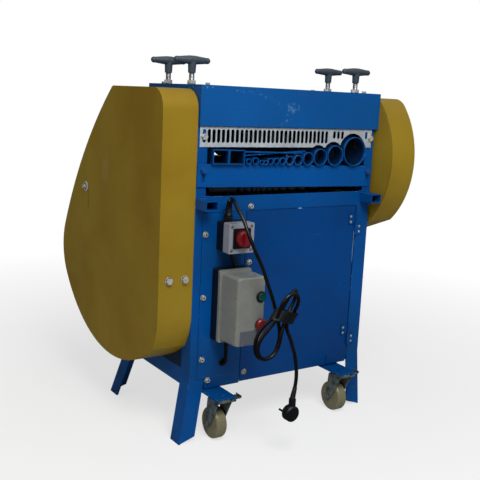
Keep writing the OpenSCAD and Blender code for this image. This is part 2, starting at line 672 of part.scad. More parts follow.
// Bearing blocks that slide in the side plates
module block_pair(y) both_sides() difference() {
    union() {
        translate([plate_x + 0.3, y - block_y / 2, upper_z - block_z / 2]) cube([28, block_y, block_z]);
        translate([plate_x + plate_t + gap, y - block_y / 2 - 6, upper_z - block_z / 2])
            cube([28 - plate_t, block_y + 12, block_z]);
    }
    along_x(0) translate([y, upper_z, 0]) cylinder(r = shaft_r + run, h = 60, $fn = 72);
}
module front_blocks() color(dark_steel) home() block_pair(front_y);
module rear_blocks() color(dark_steel) home() block_pair(rear_y);

// T-handle: threaded stem, moulded hub and cross bar
bar_height = 870;
module t_handle(x, y) translate([x, y, 0]) {
    color(steel) translate([0, 0, upper_z + block_z / 2 + gap]) cylinder(r = handle_r, h = 120, $fn = 48);
    color(black) translate([0, 0, 842]) cylinder(r1 = 8.5, r2 = 9.7, h = 27, $fn = 48);
    // Cross bar, thickest over the hub, with round ends
    color(black) for (s = [-1, 1]) translate([0, 0, bar_height]) rotate([0, s * 90, 0]) {
        translate([0, 0, -1]) cylinder(r = 9.8, h = 8, $fn = 48);
        translate([0, 0, 7]) cylinder(r1 = 9.8, r2 = 6.4, h = 32, $fn = 48);
        translate([0, 0, 39]) sphere(r = 7, $fn = 48);
    }
}
module handle_front_left() home() t_handle(handle_x, front_y);
module handle_rear_left() home() t_handle(handle_x, rear_y);
module handle_front_right() home() t_handle(cab_w - handle_x, front_y);
module handle_rear_right() home() t_handle(cab_w - handle_x, rear_y);

// Feed tray and its guide tubes, which hang on two clamp bolts
tray_bolts = [16, cab_w - 17];
tray_bolt_z = tray_z - 14;
tray_travel = 4;
// Height at the place x of something that is at the height z where the tray isn't lowered
function tray_level(x, z) = z - (x - 15) * sin(tray_tilt);
module tilted() translate([15, 0, tray_z]) rotate([0, tray_tilt, 0]) translate([-15, 0, -tray_z]) children();
module feed_tray() color(blue) home() tilted() {
    along_front(-gap) linear_extrude(3) difference() {
        translate([0, tray_z - tray_h]) polygon([[1, 0], [507, 0], [520, tray_h], [1, tray_h]]);
        for (x = tray_bolts) round_slot(x, tray_bolt_z - 28, tray_bolt_z + 4.5, 8.4);
    }
    translate([46, -gap, tray_z - 2.5]) cube([430, 26, 2.5]);
    // Straight tie bar and slanted strap over the small tubes
    translate([118.8, 0, 672]) cube([206, 7, 3]);
    translate([118.8, 2, 663]) rotate([0, -4.4, 0]) cube([186, 10, 2.5]);
}
tube_back = 20;
module guide_tubes() color(blue) home() {
    for (c = [0 : len(channels) - 1]) translate([tube_x(c), tube_back, tube_z(c)]) rotate([90, 0, 0])
        difference() {
            cylinder(r = tube_d(c) / 2, h = tube_back + tube_out, $fn = 60);
            translate([0, 0, -1]) cylinder(r = tube_d(c) / 2 - min(tube_t, tube_d(c) / 9), h = 60, $fn = 60);
        }
    tilted() for (f = flat_channels) translate([f[0] - f[1] / 2, -tube_out, tray_z])
        difference() {
            cube([f[1], tube_out + tube_back, flat_h]);
            translate([tube_t, -1, tube_t]) cube([f[1] - 2 * tube_t, 40, flat_h - 2 * tube_t]);
        }
}

// Door of the cabinet, hinged at its right edge
hinge_x = 477;
hinge_y = -6;
hinge_zs = [base_z + 345, base_z + 50];
hinge_h = 54;
module hinge_knuckle(z, h) translate([hinge_x, hinge_y + gap, z]) difference() {
    cylinder(r = 4.5, h = h, $fn = 32);
    translate([0, 0, -1]) cylinder(r = 2.5 + run, h = h + 2, $fn = 32);
}
module door() color(blue) home() translate([0, -gap, 0]) {
    along_front(0) difference() {
        translate([door_x0, base_z + 3, 0]) cube([door_x1 - door_x0, panel_top - base_z - 3, sheet]);
        screw_holes(door_screws, 3.3);
        translate([407, base_z, -1]) cube([3, 29, sheet + 2]);
    }
    difference() {
        translate([162, 0, rail_z + rail_h + 3]) cube([300, 14, 362]);
        translate([164, -1, rail_z + rail_h + 5]) cube([296, 16, 358]);
    }
    for (z = hinge_zs) {
        hinge_knuckle(z + hinge_h / 2 + 0.3, hinge_h / 2 - 0.3);
        translate([452, -4.4, z + hinge_h / 2 + 0.3]) cube([22, 2.4, hinge_h / 2 - 0.3]);
    }
}
module hinge_leaves() color(blue) home() for (z = hinge_zs) {
    translate([hinge_x, hinge_y, z]) cylinder(r = 4.5, h = hinge_h / 2, $fn = 32);
    translate([hinge_x, hinge_y, z]) cylinder(r = 2.5, h = hinge_h, $fn = 32);
    translate([hinge_x, -3, z]) cube([21, 3, hinge_h / 2]);
}

// Electrical boxes
switch_box = [57, 67, base_z + 333, 69];
starter_box = [51, 85, base_z + 122, 170];
module rounded_box(x, w, z, h, y0, y1, r) translate([0, y0, 0]) rotate([90, 0, 0])
    linear_extrude(y0 - y1) rounded_rect(x, z, w, h, r);
module rounded_rect(x, z, w, h, r) translate([x + r, z + r]) {
    translate([0, -r]) square([w - 2 * r, h]);
    translate([-r, 0]) square([w, h - 2 * r]);
    for (i = [0, w - 2 * r], j = [0, h - 2 * r]) translate([i, j]) circle(r = r, $fn = 32);
}
module box_bases() color(black) home() {
    rounded_box(switch_box[0] + 1, switch_box[1] - 2, switch_box[2] + 1, switch_box[3] - 2, -sheet, -32, 3);
    rounded_box(starter_box[0], starter_box[1], starter_box[2], starter_box[3], -sheet, -28, 5);
    // Square plate under the knob
    rounded_box(knob_c[0] - 23, 46, knob_c[1] - 23, 46, -56, -58.5, 3);
}
module switch_cover() color(light_grey) home() {
    rounded_box(switch_box[0], switch_box[1], switch_box[2], switch_box[3], -32, -56, 3);
}
starter_front = -102;
module starter_cover() color(light_grey) home() difference() {
    union() {
        rounded_box(starter_box[0], starter_box[1], starter_box[2], starter_box[3], -28, -36, 5);
        rounded_box(starter_box[0] + 5, 77, starter_box[2] + 5, 161, -36, -38, 8);
        hull() for (s = [[0, -37.5], [1.2, -95], [2.2, -99], [5, starter_front]])
            rounded_box(starter_box[0] + 5 + s[0], 77 - 2 * s[0], starter_box[2] + 5 + s[0], 161 - 2 * s[0],
                s[1] + 0.5, s[1], 8 - s[0]);
    }
    for (z = [start_z, stop_z]) along_front(starter_front + 20) translate([button_x, z, 0])
        cylinder(r = 7.2, h = 30, $fn = 48);
}
button_x = 119;
start_z = base_z + 241;
stop_z = base_z + 177;
module start_button() color([0.05, 0.35, 0.15]) home() along_front(starter_front + 12)
    translate([button_x, start_z, 0]) cylinder(r = 7, h = 15, $fn = 48);
module stop_button() color([0.55, 0.05, 0.05]) home() along_front(starter_front + 12)
    translate([button_x, stop_z, 0]) {
        cylinder(r = 7, h = 18, $fn = 48);
        translate([0, 0, 18]) cylinder(r = 14.5, h = 5, $fn = 48);
        translate([0, 0, 23]) cylinder(r1 = 14.5, r2 = 11.5, h = 3, $fn = 48);
    }
knob_c = [90.5, base_z + 367.5];
module switch_knob() color([0.55, 0.05, 0.05]) home() along_front(-58.8) translate([knob_c[0], knob_c[1], 0]) {
    cylinder(r = 19, h = 8, $fn = 60);
    translate([-6, -17, 8]) cube([12, 34, 14]);
}
gland_c = [78, -28];
gland_z = switch_box[2] + switch_box[3];
module cord_gland() color(black) home() translate([gland_c[0], -17, gland_z]) {
    cylinder(r = 11, h = 9, $fn = 6);
    translate([0, 0, 9]) cylinder(r = 9.5, h = 5, $fn = 48);
    translate([0, 0, 14]) cylinder(r1 = 9.5, r2 = 6.5, h = 7, $fn = 48);
}
// Short cables between the two boxes and from the starter into the cabinet
module cables() color(black) home() {
    translate([105, -17, starter_box[2] + starter_box[3] - 3]) rotate([0, -23.5, 0]) cylinder(r = 4.5, h = 52, $fn = 32);
    translate([cable_hole[0], -15, cable_hole[1] + 9]) cylinder(r = 4.5, h = 53, $fn = 32);
    translate([cable_hole[0], -6, cable_hole[1] + 9]) rotate([90, 0, 90]) rotate([0, 0, 180])
        rotate_extrude(angle = 90, $fn = 96) translate([9, 0]) circle(r = 4.5, $fn = 32);
    along_front(20) translate([cable_hole[0], cable_hole[1], 0]) cylinder(r = 4.5, h = 26, $fn = 32);
}

// Castors: a bracket under the cabinet, a swivelling fork, a wheel and a brake pedal
castor_x = [60, 427];
castor_y = -46;
plate_top = 113;
module castor_plates() color(blue) home() for (x = castor_x) {
    translate([x - 27, castor_y - 23, plate_top - 4]) difference() {
        cube([54, 110, 4]);
        translate([27, 23, -1]) cylinder(r = 5, h = 6, $fn = 32);
    }
    translate([x - 27, 4, plate_top]) cube([54, 36, rail_z - plate_top]);
    // Kingpin with its riveted head
    translate([x, castor_y, plate_top - 16]) cylinder(r = 5, h = 17, $fn = 32);
    translate([x, castor_y, plate_top]) cylinder(r = 8, h = 2, $fn = 32);
    translate([x, castor_y, plate_top - 18]) cylinder(r = 9, h = 3, $fn = 32);
}
fork_z = plate_top - 4 - gap;
fork_t = 3;
wheel_z = wheel_d / 2 + 0.2;
module castor_fork(x) translate([x, castor_y, 0]) difference() {
    union() {
        translate([0, 0, fork_z - 7]) cylinder(r = 24, h = 7, $fn = 60);
        translate([-20, -18, fork_z - 10]) cube([40, 44, fork_t]);
        for (s = [-20, 17]) translate([s, 0, 0]) rotate([90, 0, 90]) linear_extrude(fork_t) hull() {
            translate([trail, wheel_z]) circle(r = 9, $fn = 32);
            translate([-18, fork_z - 10]) square([44, fork_t]);
        }
        translate([-22, trail, wheel_z]) rotate([0, 90, 0]) cylinder(r = 4, h = 44, $fn = 32);
        for (s = [-24, 20]) translate([s, trail, wheel_z]) rotate([0, 90, 0]) cylinder(r = 7, h = 4, $fn = 6);
        // Lugs and pin of the brake pedal
        for (y = [-18, 9]) translate([19, y + 0.5, fork_z - 11]) cube([13, 3, 7]);
        translate([pedal_pin[0], 12, pedal_pin[1]]) rotate([90, 0, 0]) cylinder(r = 2, h = 29, $fn = 32);
    }
    translate([0, 0, fork_z - 7.1]) cylinder(r = 5 + run, h = 40, $fn = 32);
    translate([0, 0, fork_z - 20]) cylinder(r = 9 + gap, h = 13.2, $fn = 32);
}
module castor_fork_left() color(dark_steel) home() castor_fork(castor_x[0]);
module castor_fork_right() color(dark_steel) home() castor_fork(castor_x[1]);
module castor_wheel(x) translate([x, castor_y + trail, wheel_z]) rotate([0, 90, 0]) difference() {
    translate([0, 0, -wheel_w / 2]) rotate_extrude($fn = 96) wheel_profile();
    translate([0, 0, -30]) cylinder(r = 4 + run, h = 60, $fn = 32);
}
module wheel_profile() {
    translate([3, 0]) square([wheel_d / 2 - 3 - 6, wheel_w]);
    translate([wheel_d / 2 - 9, 6]) square([9, wheel_w - 12]);
    for (z = [6, wheel_w - 6]) translate([wheel_d / 2 - 6, z]) circle(r = 6, $fn = 48);
}
module castor_wheel_left() color(cream) home() castor_wheel(castor_x[0]);
module castor_wheel_right() color(cream) home() castor_wheel(castor_x[1]);
// Brake pedal: a stamped lever with a curled tip, hinged on a pin beside the fork's crown
pedal_pin = [28.5, fork_z - 7.5];
module castor_pedal(x) translate([x, castor_y, 0]) rotate([90, 0, 0]) translate([0, 0, -8])
    linear_extrude(20) difference() {
        union() {
            translate(pedal_pin) circle(r = 4, $fn = 32);
            translate([pedal_pin[0], pedal_pin[1] - 1]) square([18, 3]);
            translate([pedal_pin[0] + 18, pedal_pin[1] + 3]) difference() {
                circle(r = 4, $fn = 32);
                circle(r = 1.5, $fn = 32);
                translate([-5, 0]) square([5, 5]);
            }
        }
        translate(pedal_pin) circle(r = 2 + run, $fn = 32);
    }
module castor_pedal_left() color(dark_steel) home() castor_pedal(castor_x[0]);
module castor_pedal_right() color(dark_steel) home() castor_pedal(castor_x[1]);

// Power cord that hangs from the gland, tied up in a hank above its plug
cord_r = 4.5;
cord_route = [[78, -17, 538], [77, -20, 555], [72, -32, 566], [66, -52, 567], [62, -75, 556], [64, -100, 532],
    [68, -118, 500], [78, -130, 468], [92, -138, 434], [104, -145, 398], [113, -149, 372],
    [121, -150, 350], [129, -150, 328]];
tail_route = [[155, -157, 304], [156, -157, 289], [161, -162, 273], [165, -168, 254], [168, -174, 235],
    [169, -179, 216], [169, -183, 197], [167, -186, 181], [164, -188, 167], [160, -190, 151],
    [157, -190, 138]];
cord_sides = 8;
function unit(v) = v / norm(v);
function along(route, i) = unit(route[min(i + 1, len(route) - 1)] - route[max(i - 1, 0)]);
function side_of(t) = unit(cross(t, [0.6, 0.3, -0.1]));
module tube(route, r, sides) {
    rings = len(route);
    points = [for (i = [0 : rings - 1]) let (t = along(route, i), u = side_of(t), v = cross(t, u))
        for (k = [0 : sides - 1]) route[i] + r * (cos(k * 360 / sides) * u + sin(k * 360 / sides) * v)];
    walls = [for (i = [0 : rings - 2], k = [0 : sides - 1])
        [i * sides + k, i * sides + (k + 1) % sides, (i + 1) * sides + (k + 1) % sides, (i + 1) * sides + k]];
    ends = [[for (k = [sides - 1 : -1 : 0]) k], [for (k = [0 : sides - 1]) (rings - 1) * sides + k]];
    polyhedron(points = points, faces = concat(walls, ends));
}
module power_cord() color(black) home() {
    tube(cord_route, cord_r, cord_sides);
    tube(tail_route, cord_r, cord_sides);
}
module cord_hank() color(black) home() translate([0, -144, 0]) rotate([90, 0, 0]) linear_extrude(32) hull() {
    translate([150, 356]) circle(r = 22, $fn = 40);
    translate([108, 258]) circle(r = 34, $fn = 40);
}
module power_plug() color(black) home() translate([154, -190, 0]) {
    translate([3, 0, 116]) cylinder(r = 8, h = 22, $fn = 40);
    translate([0, 8, 105]) rotate([90, 0, 0]) cylinder(r = 18.5, h = 15, $fn = 72);
    translate([0, -7, 105]) rotate([90, 0, 0]) cylinder(r1 = 18.5, r2 = 15.5, h = 3, $fn = 72);
    translate([0, 10, 105]) rotate([90, 0, 0]) cylinder(r = 17, h = 3, $fn = 72);
    for (x = [-9.5, 9.5]) translate([x, 29, 105]) rotate([90, 0, 0]) cylinder(r = 2.4, h = 20, $fn = 32);
}

posts();
rails();
service_panel();
body_panels();
side_plates();
top_bars();
hood();
guard_strip();
infeed_sockets();
left_cover();
right_cover();
fasteners();
flange_bearings();
jack_cartridge();
gearmotor();
motor_shelf();
v_belts();
chain();
idler_axle();
box_bases();
switch_cover();
starter_cover();
cord_gland();
cables();
castor_plates();
hinge_leaves();
power_cord();
cord_hank();
power_plug();
door();
feed_tray();
guide_tubes();
front_blocks();
rear_blocks();
blade_shaft();
blades();
press_roller();
front_feed_roller();
rear_feed_roller();
blade_gear();
front_feed_gears();
rear_feed_gear();
idler_gear();
driven_sprocket();
jack_shaft();
big_pulley();
motor_pulley();
handle_front_left();
handle_front_right();
handle_rear_left();
handle_rear_right();
switch_knob();
start_button();
stop_button();
castor_fork_left();
castor_fork_right();
castor_wheel_left();
castor_wheel_right();
castor_pedal_left();
castor_pedal_right();
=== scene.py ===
import math

import bmesh
import bpy
from bpy.props import FloatProperty, FloatVectorProperty, IntProperty, PointerProperty
from mathutils import Matrix, Vector


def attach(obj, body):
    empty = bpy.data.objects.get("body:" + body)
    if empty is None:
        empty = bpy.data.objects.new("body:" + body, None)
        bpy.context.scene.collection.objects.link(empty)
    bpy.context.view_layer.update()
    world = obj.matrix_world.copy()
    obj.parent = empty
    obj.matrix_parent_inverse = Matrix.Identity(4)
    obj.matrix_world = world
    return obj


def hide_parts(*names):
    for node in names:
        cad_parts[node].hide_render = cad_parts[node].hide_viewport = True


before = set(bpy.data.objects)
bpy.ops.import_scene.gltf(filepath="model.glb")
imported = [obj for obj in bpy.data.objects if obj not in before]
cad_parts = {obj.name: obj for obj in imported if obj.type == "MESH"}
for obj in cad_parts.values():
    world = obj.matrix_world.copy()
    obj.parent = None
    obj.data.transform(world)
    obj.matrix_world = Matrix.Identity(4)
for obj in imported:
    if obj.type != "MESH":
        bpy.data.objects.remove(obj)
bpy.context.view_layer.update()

bl_info = {
    "name": "Cable stripping machine finish",
    "version": (1, 0, 0),
    "blender": (4, 5, 0),
    "location": "View3D > Sidebar > Machine",
    "description": "Finishes the machine's frame and adds its power lead, screws, rivets, welds and plates",
    "category": "Object",
}

# Distance from the cabinet's front left corner, where places are measured, to the frame's middle
CORNER_X, CORNER_Y = 259.0, 228.5

FRONT, BACK, LEFT, RIGHT = (0, -1, 0), (0, 1, 0), (-1, 0, 0), (1, 0, 0)


def at(x, y, z):
    """A place measured in millimetres from the cabinet's front left corner, in the frame's metres."""
    return Vector(((x - CORNER_X) / 1000, (y - CORNER_Y) / 1000, z / 1000))


def linear(code):
    """The linear colour of an sRGB hex code."""
    values = [int(code[k:k + 2], 16) / 255 for k in (1, 3, 5)]
    values = [v / 12.92 if v <= 0.04045 else ((v + 0.055) / 1.055) ** 2.4 for v in values]
    return (*values, 1.0)


def grain(millimetres):
    """The texture scale at which a pattern's cells are so many millimetres wide."""
    return 1000 / millimetres


# Node trees

def give(tree, node, inputs):
    """Gives a node its inputs, by name or number, or as a list in the node's own order. Each is another
    node's output or a value."""
    for key, value in inputs.items() if isinstance(inputs, dict) else enumerate(inputs):
        if isinstance(value, bpy.types.NodeSocket):
            tree.links.new(value, node.inputs[key])
        else:
            node.inputs[key].default_value = value


def add(tree, kind, inputs=(), output=None, **settings):
    """Adds a node with its settings and inputs. Gives back the node, or the one output that is asked for.
    MapRange lists a value, the low and high that it is read between, and what these two become. Mix has its
    factor at 0, its two colours at 6 and 7 and the mixed colour at output 2."""
    node = tree.nodes.new("ShaderNode" + kind)
    for name, value in settings.items():
        setattr(node, name, value)
    give(tree, node, inputs)
    return node if output is None else node.outputs[output]


def begin(name):
    """An empty surface: its material, tree, shader and the place on the piece."""
    material = bpy.data.materials.new(name)
    material.use_nodes = True
    tree = material.node_tree
    tree.nodes.clear()
    shader = add(tree, "BsdfPrincipled")
    add(tree, "OutputMaterial", {"Surface": shader.outputs["BSDF"]})
    return material, tree, shader, add(tree, "TexCoord", output="Object")


def surface_of(material):
    """A finished surface's tree, shader, the place on the piece and what colours it now."""
    tree = material.node_tree
    shader = next(node for node in tree.nodes if node.type == "BSDF_PRINCIPLED")
    place = next(node for node in tree.nodes if node.type == "TEX_COORD").outputs["Object"]
    return tree, shader, place, shader.inputs["Base Color"].links[0].from_socket


def edge_mask(tree, soft):
    """Where the softened normal turns away from the face's own: 1 on an edge and 0 on a flat face."""
    own = add(tree, "NewGeometry", output="Normal")
    alike = add(tree, "VectorMath", [soft, own], "Value", operation="DOT_PRODUCT")
    return add(tree, "MapRange", [alike, 0.995, 0.8], "Result")


def oval_mask(tree, place, middle, half_size):
    """How far a place is from the middle, where 1 is the edge of an oval of that half size in metres."""
    scale = [1 / half for half in half_size]
    offset = [-middle[k] * scale[k] for k in range(3)]
    moved = add(tree, "Mapping", {"Vector": place, "Scale": scale, "Location": offset}, 0)
    return add(tree, "VectorMath", [moved], "Value", operation="LENGTH")


# Finishes

def stove_enamel(name, colour, shade, bare, chips, roughness):
    """Stoved enamel on welded sheet: semi-gloss with orange peel, wavy where the sheet was welded, chipped
    to the pale primer along its edges, with a few hairline scratches, dust specks and grime towards the
    floor."""
    material, tree, shader, place = begin(name)
    # Tone drifts over the sheets, as sprayed paint does
    drift = add(tree, "TexNoise", {"Vector": place, "Scale": grain(240), "Detail": 3.0}, "Fac")
    drifted = add(tree, "MapRange", [drift, 0.38, 0.66], "Result")
    coat = add(tree, "Mix", {0: drifted, 6: linear(colour), 7: linear(shade)}, 2, data_type="RGBA")
    # Grime gathers over the lowest 140 mm, in blotches 60 mm wide
    height = add(tree, "SeparateXYZ", [place], "Z")
    low = add(tree, "MapRange", [height, 0.14, 0.0, 0.0, 0.45], "Result")
    blotch = add(tree, "TexNoise", {"Vector": place, "Scale": grain(60), "Detail": 5.0}, "Fac")
    blotches = add(tree, "MapRange", [blotch, 0.42, 0.72], "Result")
    grime = add(tree, "Math", [low, blotches], 0, operation="MULTIPLY", use_clamp=True)
    coat = add(tree, "Mix", {0: grime, 6: coat, 7: linear("#161a20")}, 2, data_type="RGBA")
    # Hairline scratches lie nearly level, in a few rubbed patches
    stretch = {"Vector": place, "Rotation": (0.05, 0.12, 0.03), "Scale": (7.0, 7.0, 420.0)}
    stretched = add(tree, "Mapping", stretch, "Vector")
    hair = add(tree, "TexNoise", {"Vector": stretched, "Scale": 1.0, "Detail": 2.0}, "Fac")
    hairs = add(tree, "MapRange", [hair, 0.66, 0.72], "Result")
    rub = add(tree, "TexNoise", {"Vector": place, "Scale": grain(110), "Detail": 2.0}, "Fac")
    rubbed = add(tree, "MapRange", [rub, 0.57, 0.7, 0.0, 0.2], "Result")
    scratches = add(tree, "Math", [hairs, rubbed], 0, operation="MULTIPLY", use_clamp=True)
    coat = add(tree, "Mix", {0: scratches, 6: coat, 7: linear(bare)}, 2, data_type="RGBA")
    # Dust nibs and tiny chips, about one in a few centimetres, drawn 2 mm wide so that they show
    cells = add(tree, "TexVoronoi", {"Vector": place, "Scale": grain(30)})
    middles = add(tree, "MapRange", [cells.outputs["Distance"], 0.05, 0.035], "Result")
    lot = add(tree, "SeparateColor", [cells.outputs["Color"]], 0)
    drawn = add(tree, "MapRange", [lot, 1.0 - chips, 1.02 - chips, 0.0, 0.7], "Result")
    nibs = add(tree, "Math", [middles, drawn], 0, operation="MULTIPLY", use_clamp=True)
    coat = add(tree, "Mix", {0: nibs, 6: coat, 7: linear(bare)}, 2, data_type="RGBA")
    # Chips along the edges, in flakes 11 mm wide
    soft = add(tree, "Bevel", {"Radius": 0.0016}, "Normal", samples=4)
    ragged = {"Vector": place, "Scale": grain(11), "Detail": 6.0, "Roughness": 0.65}
    flake = add(tree, "TexNoise", ragged, "Fac")
    flakes = add(tree, "MapRange", [flake, 0.62 - chips, 0.66 - chips], "Result")
    patch = add(tree, "TexNoise", {"Vector": place, "Scale": grain(75), "Detail": 1.0}, "Fac")
    patches = add(tree, "MapRange", [patch, 0.5, 0.6], "Result")
    flaked = add(tree, "Math", [flakes, patches], 0, operation="MULTIPLY", use_clamp=True)
    worn = add(tree, "Math", [edge_mask(tree, soft), flaked], 0, operation="MULTIPLY", use_clamp=True)
    coat = add(tree, "Mix", {0: worn, 6: coat, 7: linear(bare)}, 2, data_type="RGBA")
    # Gloss changes with the blotches, and is lost where the paint is worn or grimy
    gloss = add(tree, "MapRange", [blotch, 0.3, 0.7, roughness - 0.05, roughness + 0.09], "Result")
    spoilt = add(tree, "Math", [worn, grime], 0, operation="ADD", use_clamp=True)
    dulled = add(tree, "Math", [spoilt, 0.35], 0, operation="MULTIPLY", use_clamp=True)
    rough = add(tree, "Math", [gloss, dulled], 0, operation="ADD", use_clamp=True)
    # Sheet that was welded waves over 95 mm
    waves = add(tree, "TexNoise", {"Vector": place, "Scale": grain(95), "Detail": 1.0}, "Fac")
    wavy = add(tree, "Bump", {"Height": waves, "Normal": soft, "Strength": 0.5, "Distance": 0.004}, 0)
    # Orange peel is 1 to 2 mm wide on the real sheet, and drawn 4 mm wide so that it shows
    peel = add(tree, "TexNoise", {"Vector": place, "Scale": grain(4), "Detail": 2.0}, "Fac")
    raised = add(tree, "Math", [peel, 0.4], 0, operation="MULTIPLY", use_clamp=True)
    sunk = add(tree, "Math", [worn, 0.35], 0, operation="MULTIPLY", use_clamp=True)
    skin = add(tree, "Math", [raised, sunk], 0, operation="SUBTRACT", use_clamp=True)
    bump = add(tree, "Bump", {"Height": skin, "Normal": wavy, "Strength": 0.35, "Distance": 0.0006}, 0)
    give(tree, shader, {"Base Color": coat, "Roughness": rough, "Normal": bump, "Specular IOR Level": 0.17})
    return material


def guide_enamel(name, colour, shade, bare):
    """The guide tubes' enamel, blackened behind their mouths partly by oil and dust and partly by painted
    shade.
    """
    material = stove_enamel(name, colour, shade, bare, 0.08, 0.32)
    tree, shader, place, coat = surface_of(material)
    # Grime and painted shade darken the tubes from 11.4 mm in front of the cabinet's face, fully from 2 mm in
    # front of it inwards
    depth = add(tree, "SeparateXYZ", [place], "Y")
    grime_and_shade = add(tree, "MapRange", [depth, at(0, -11.4, 0).y, at(0, -2, 0).y, 0.0, 0.86], "Result")
    coat = add(tree, "Mix", {0: grime_and_shade, 6: coat, 7: linear("#0a1016")}, 2, data_type="RGBA")
    give(tree, shader, {"Base Color": coat})
    return material


def panel_enamel(name, colour, shade, bare):
    """The side and rear panels' enamel, with a painted shadow of the left cover darkening the left panel
    behind it.
    """
    material = stove_enamel(name, colour, shade, bare, 0.08, 0.34)
    tree, shader, place, coat = surface_of(material)
    # Painted shadow: faces within 12 mm of the cabinet's left side go dark, fully within 6 mm, as the cover
    # shades them
    across = add(tree, "SeparateXYZ", [place], "X")
    painted_cover_shadow = add(tree, "MapRange", [across, at(12, 0, 0).x, at(6, 0, 0).x, 0.0, 0.85], "Result")
    coat = add(tree, "Mix", {0: painted_cover_shadow, 6: coat, 7: linear("#04161f")}, 2, data_type="RGBA")
    give(tree, shader, {"Base Color": coat})
    return material


def cover_enamel(name, colour, shade, bare):
    """The covers' mustard enamel, with a pale rubbed smear and a run of oil below the latch."""
    material = stove_enamel(name, colour, shade, bare, 0.03, 0.4)
    tree, shader, place, coat = surface_of(material)
    cloud = add(tree, "TexNoise", {"Vector": place, "Scale": grain(22), "Detail": 4.0}, "Fac")
    reach = oval_mask(tree, place, at(-87, 292, 604), (0.06, 0.026, 0.042))
    inside = add(tree, "MapRange", [reach, 1.0, 0.4], "Result")
    thin = add(tree, "MapRange", [cloud, 0.3, 0.65, 0.1, 0.26], "Result")
    smear = add(tree, "Math", [inside, thin], 0, operation="MULTIPLY", use_clamp=True)
    coat = add(tree, "Mix", {0: smear, 6: coat, 7: linear("#a8976c")}, 2, data_type="RGBA")
    reach = oval_mask(tree, place, at(-87, 398, 518), (0.06, 0.007, 0.04))
    inside = add(tree, "MapRange", [reach, 1.0, 0.3], "Result")
    thick = add(tree, "MapRange", [cloud, 0.3, 0.6, 0.2, 0.5], "Result")
    oil = add(tree, "Math", [inside, thick], 0, operation="MULTIPLY", use_clamp=True)
    coat = add(tree, "Mix", {0: oil, 6: coat, 7: linear("#3a2c0e")}, 2, data_type="RGBA")
    give(tree, shader, {"Base Color": coat})
    return material


def hood_enamel(name, colour, shade, bare):
    """The hood's blue enamel, with an oval of pinholes and a rubbed patch on its front."""
    material = stove_enamel(name, colour, shade, bare, 0.07, 0.33)
    tree, shader, place, coat = surface_of(material)
    speck = add(tree, "TexNoise", {"Vector": place, "Scale": grain(5), "Detail": 3.0}, "Fac")
    specks = add(tree, "MapRange", [speck, 0.6, 0.66, 0.0, 0.6], "Result")
    reach = oval_mask(tree, place, at(30, 0, 755), (0.21, 0.15, 0.056))
    outside = add(tree, "MapRange", [reach, 0.95, 0.99], "Result")
    inside = add(tree, "MapRange", [reach, 1.07, 1.02], "Result")
    ring = add(tree, "Math", [outside, inside], 0, operation="MULTIPLY", use_clamp=True)
    pinholes = add(tree, "Math", [ring, specks], 0, operation="MULTIPLY", use_clamp=True)
    # The rubbed patch is 40 mm wide, in the upper middle
    reach = oval_mask(tree, place, at(252, 0, 774), (0.024, 0.15, 0.015))
    inside = add(tree, "MapRange", [reach, 1.0, 0.5], "Result")
    hatch = add(tree, "TexNoise", {"Vector": place, "Scale": grain(9), "Detail": 2.0}, "Fac")
    hatched = add(tree, "MapRange", [hatch, 0.45, 0.62, 0.0, 0.32], "Result")
    patch = add(tree, "Math", [inside, hatched], 0, operation="MULTIPLY", use_clamp=True)
    marks = add(tree, "Math", [pinholes, patch], 0, operation="ADD", use_clamp=True)
    coat = add(tree, "Mix", {0: marks, 6: coat, 7: linear("#7fa6c4")}, 2, data_type="RGBA")
    give(tree, shader, {"Base Color": coat})
    return material


def galvanised_sheet(name, colour):
    """Hot-dip galvanised sheet: grey zinc in flat spangles about 9 mm wide, some brighter than others."""
    material, tree, shader, place = begin(name)
    spangle = add(tree, "TexVoronoi", {"Vector": place, "Scale": grain(9)}, "Color")
    tone = add(tree, "SeparateColor", [spangle], 0)
    bright = add(tree, "MapRange", [tone, 0.0, 1.0], "Result")
    zinc = add(tree, "Mix", {0: bright, 6: linear(colour), 7: linear("#c3cad0")}, 2, data_type="RGBA")
    film = add(tree, "TexNoise", {"Vector": place, "Scale": grain(40), "Detail": 4.0}, "Fac")
    filmed = add(tree, "MapRange", [film, 0.5, 0.75, 0.0, 0.4], "Result")
    zinc = add(tree, "Mix", {0: filmed, 6: zinc, 7: linear("#7f8a93")}, 2, data_type="RGBA")
    rough = add(tree, "MapRange", [tone, 0.0, 1.0, 0.38, 0.55], "Result")
    soft = add(tree, "Bevel", {"Radius": 0.0006}, "Normal", samples=4)
    grit = add(tree, "TexNoise", {"Vector": place, "Scale": grain(2.5), "Detail": 2.0}, "Fac")
    bump = add(tree, "Bump", {"Height": grit, "Normal": soft, "Strength": 0.2, "Distance": 0.0003}, 0)
    give(tree, shader, {"Base Color": zinc, "Roughness": rough, "Normal": bump, "Metallic": 0.3})
    return material


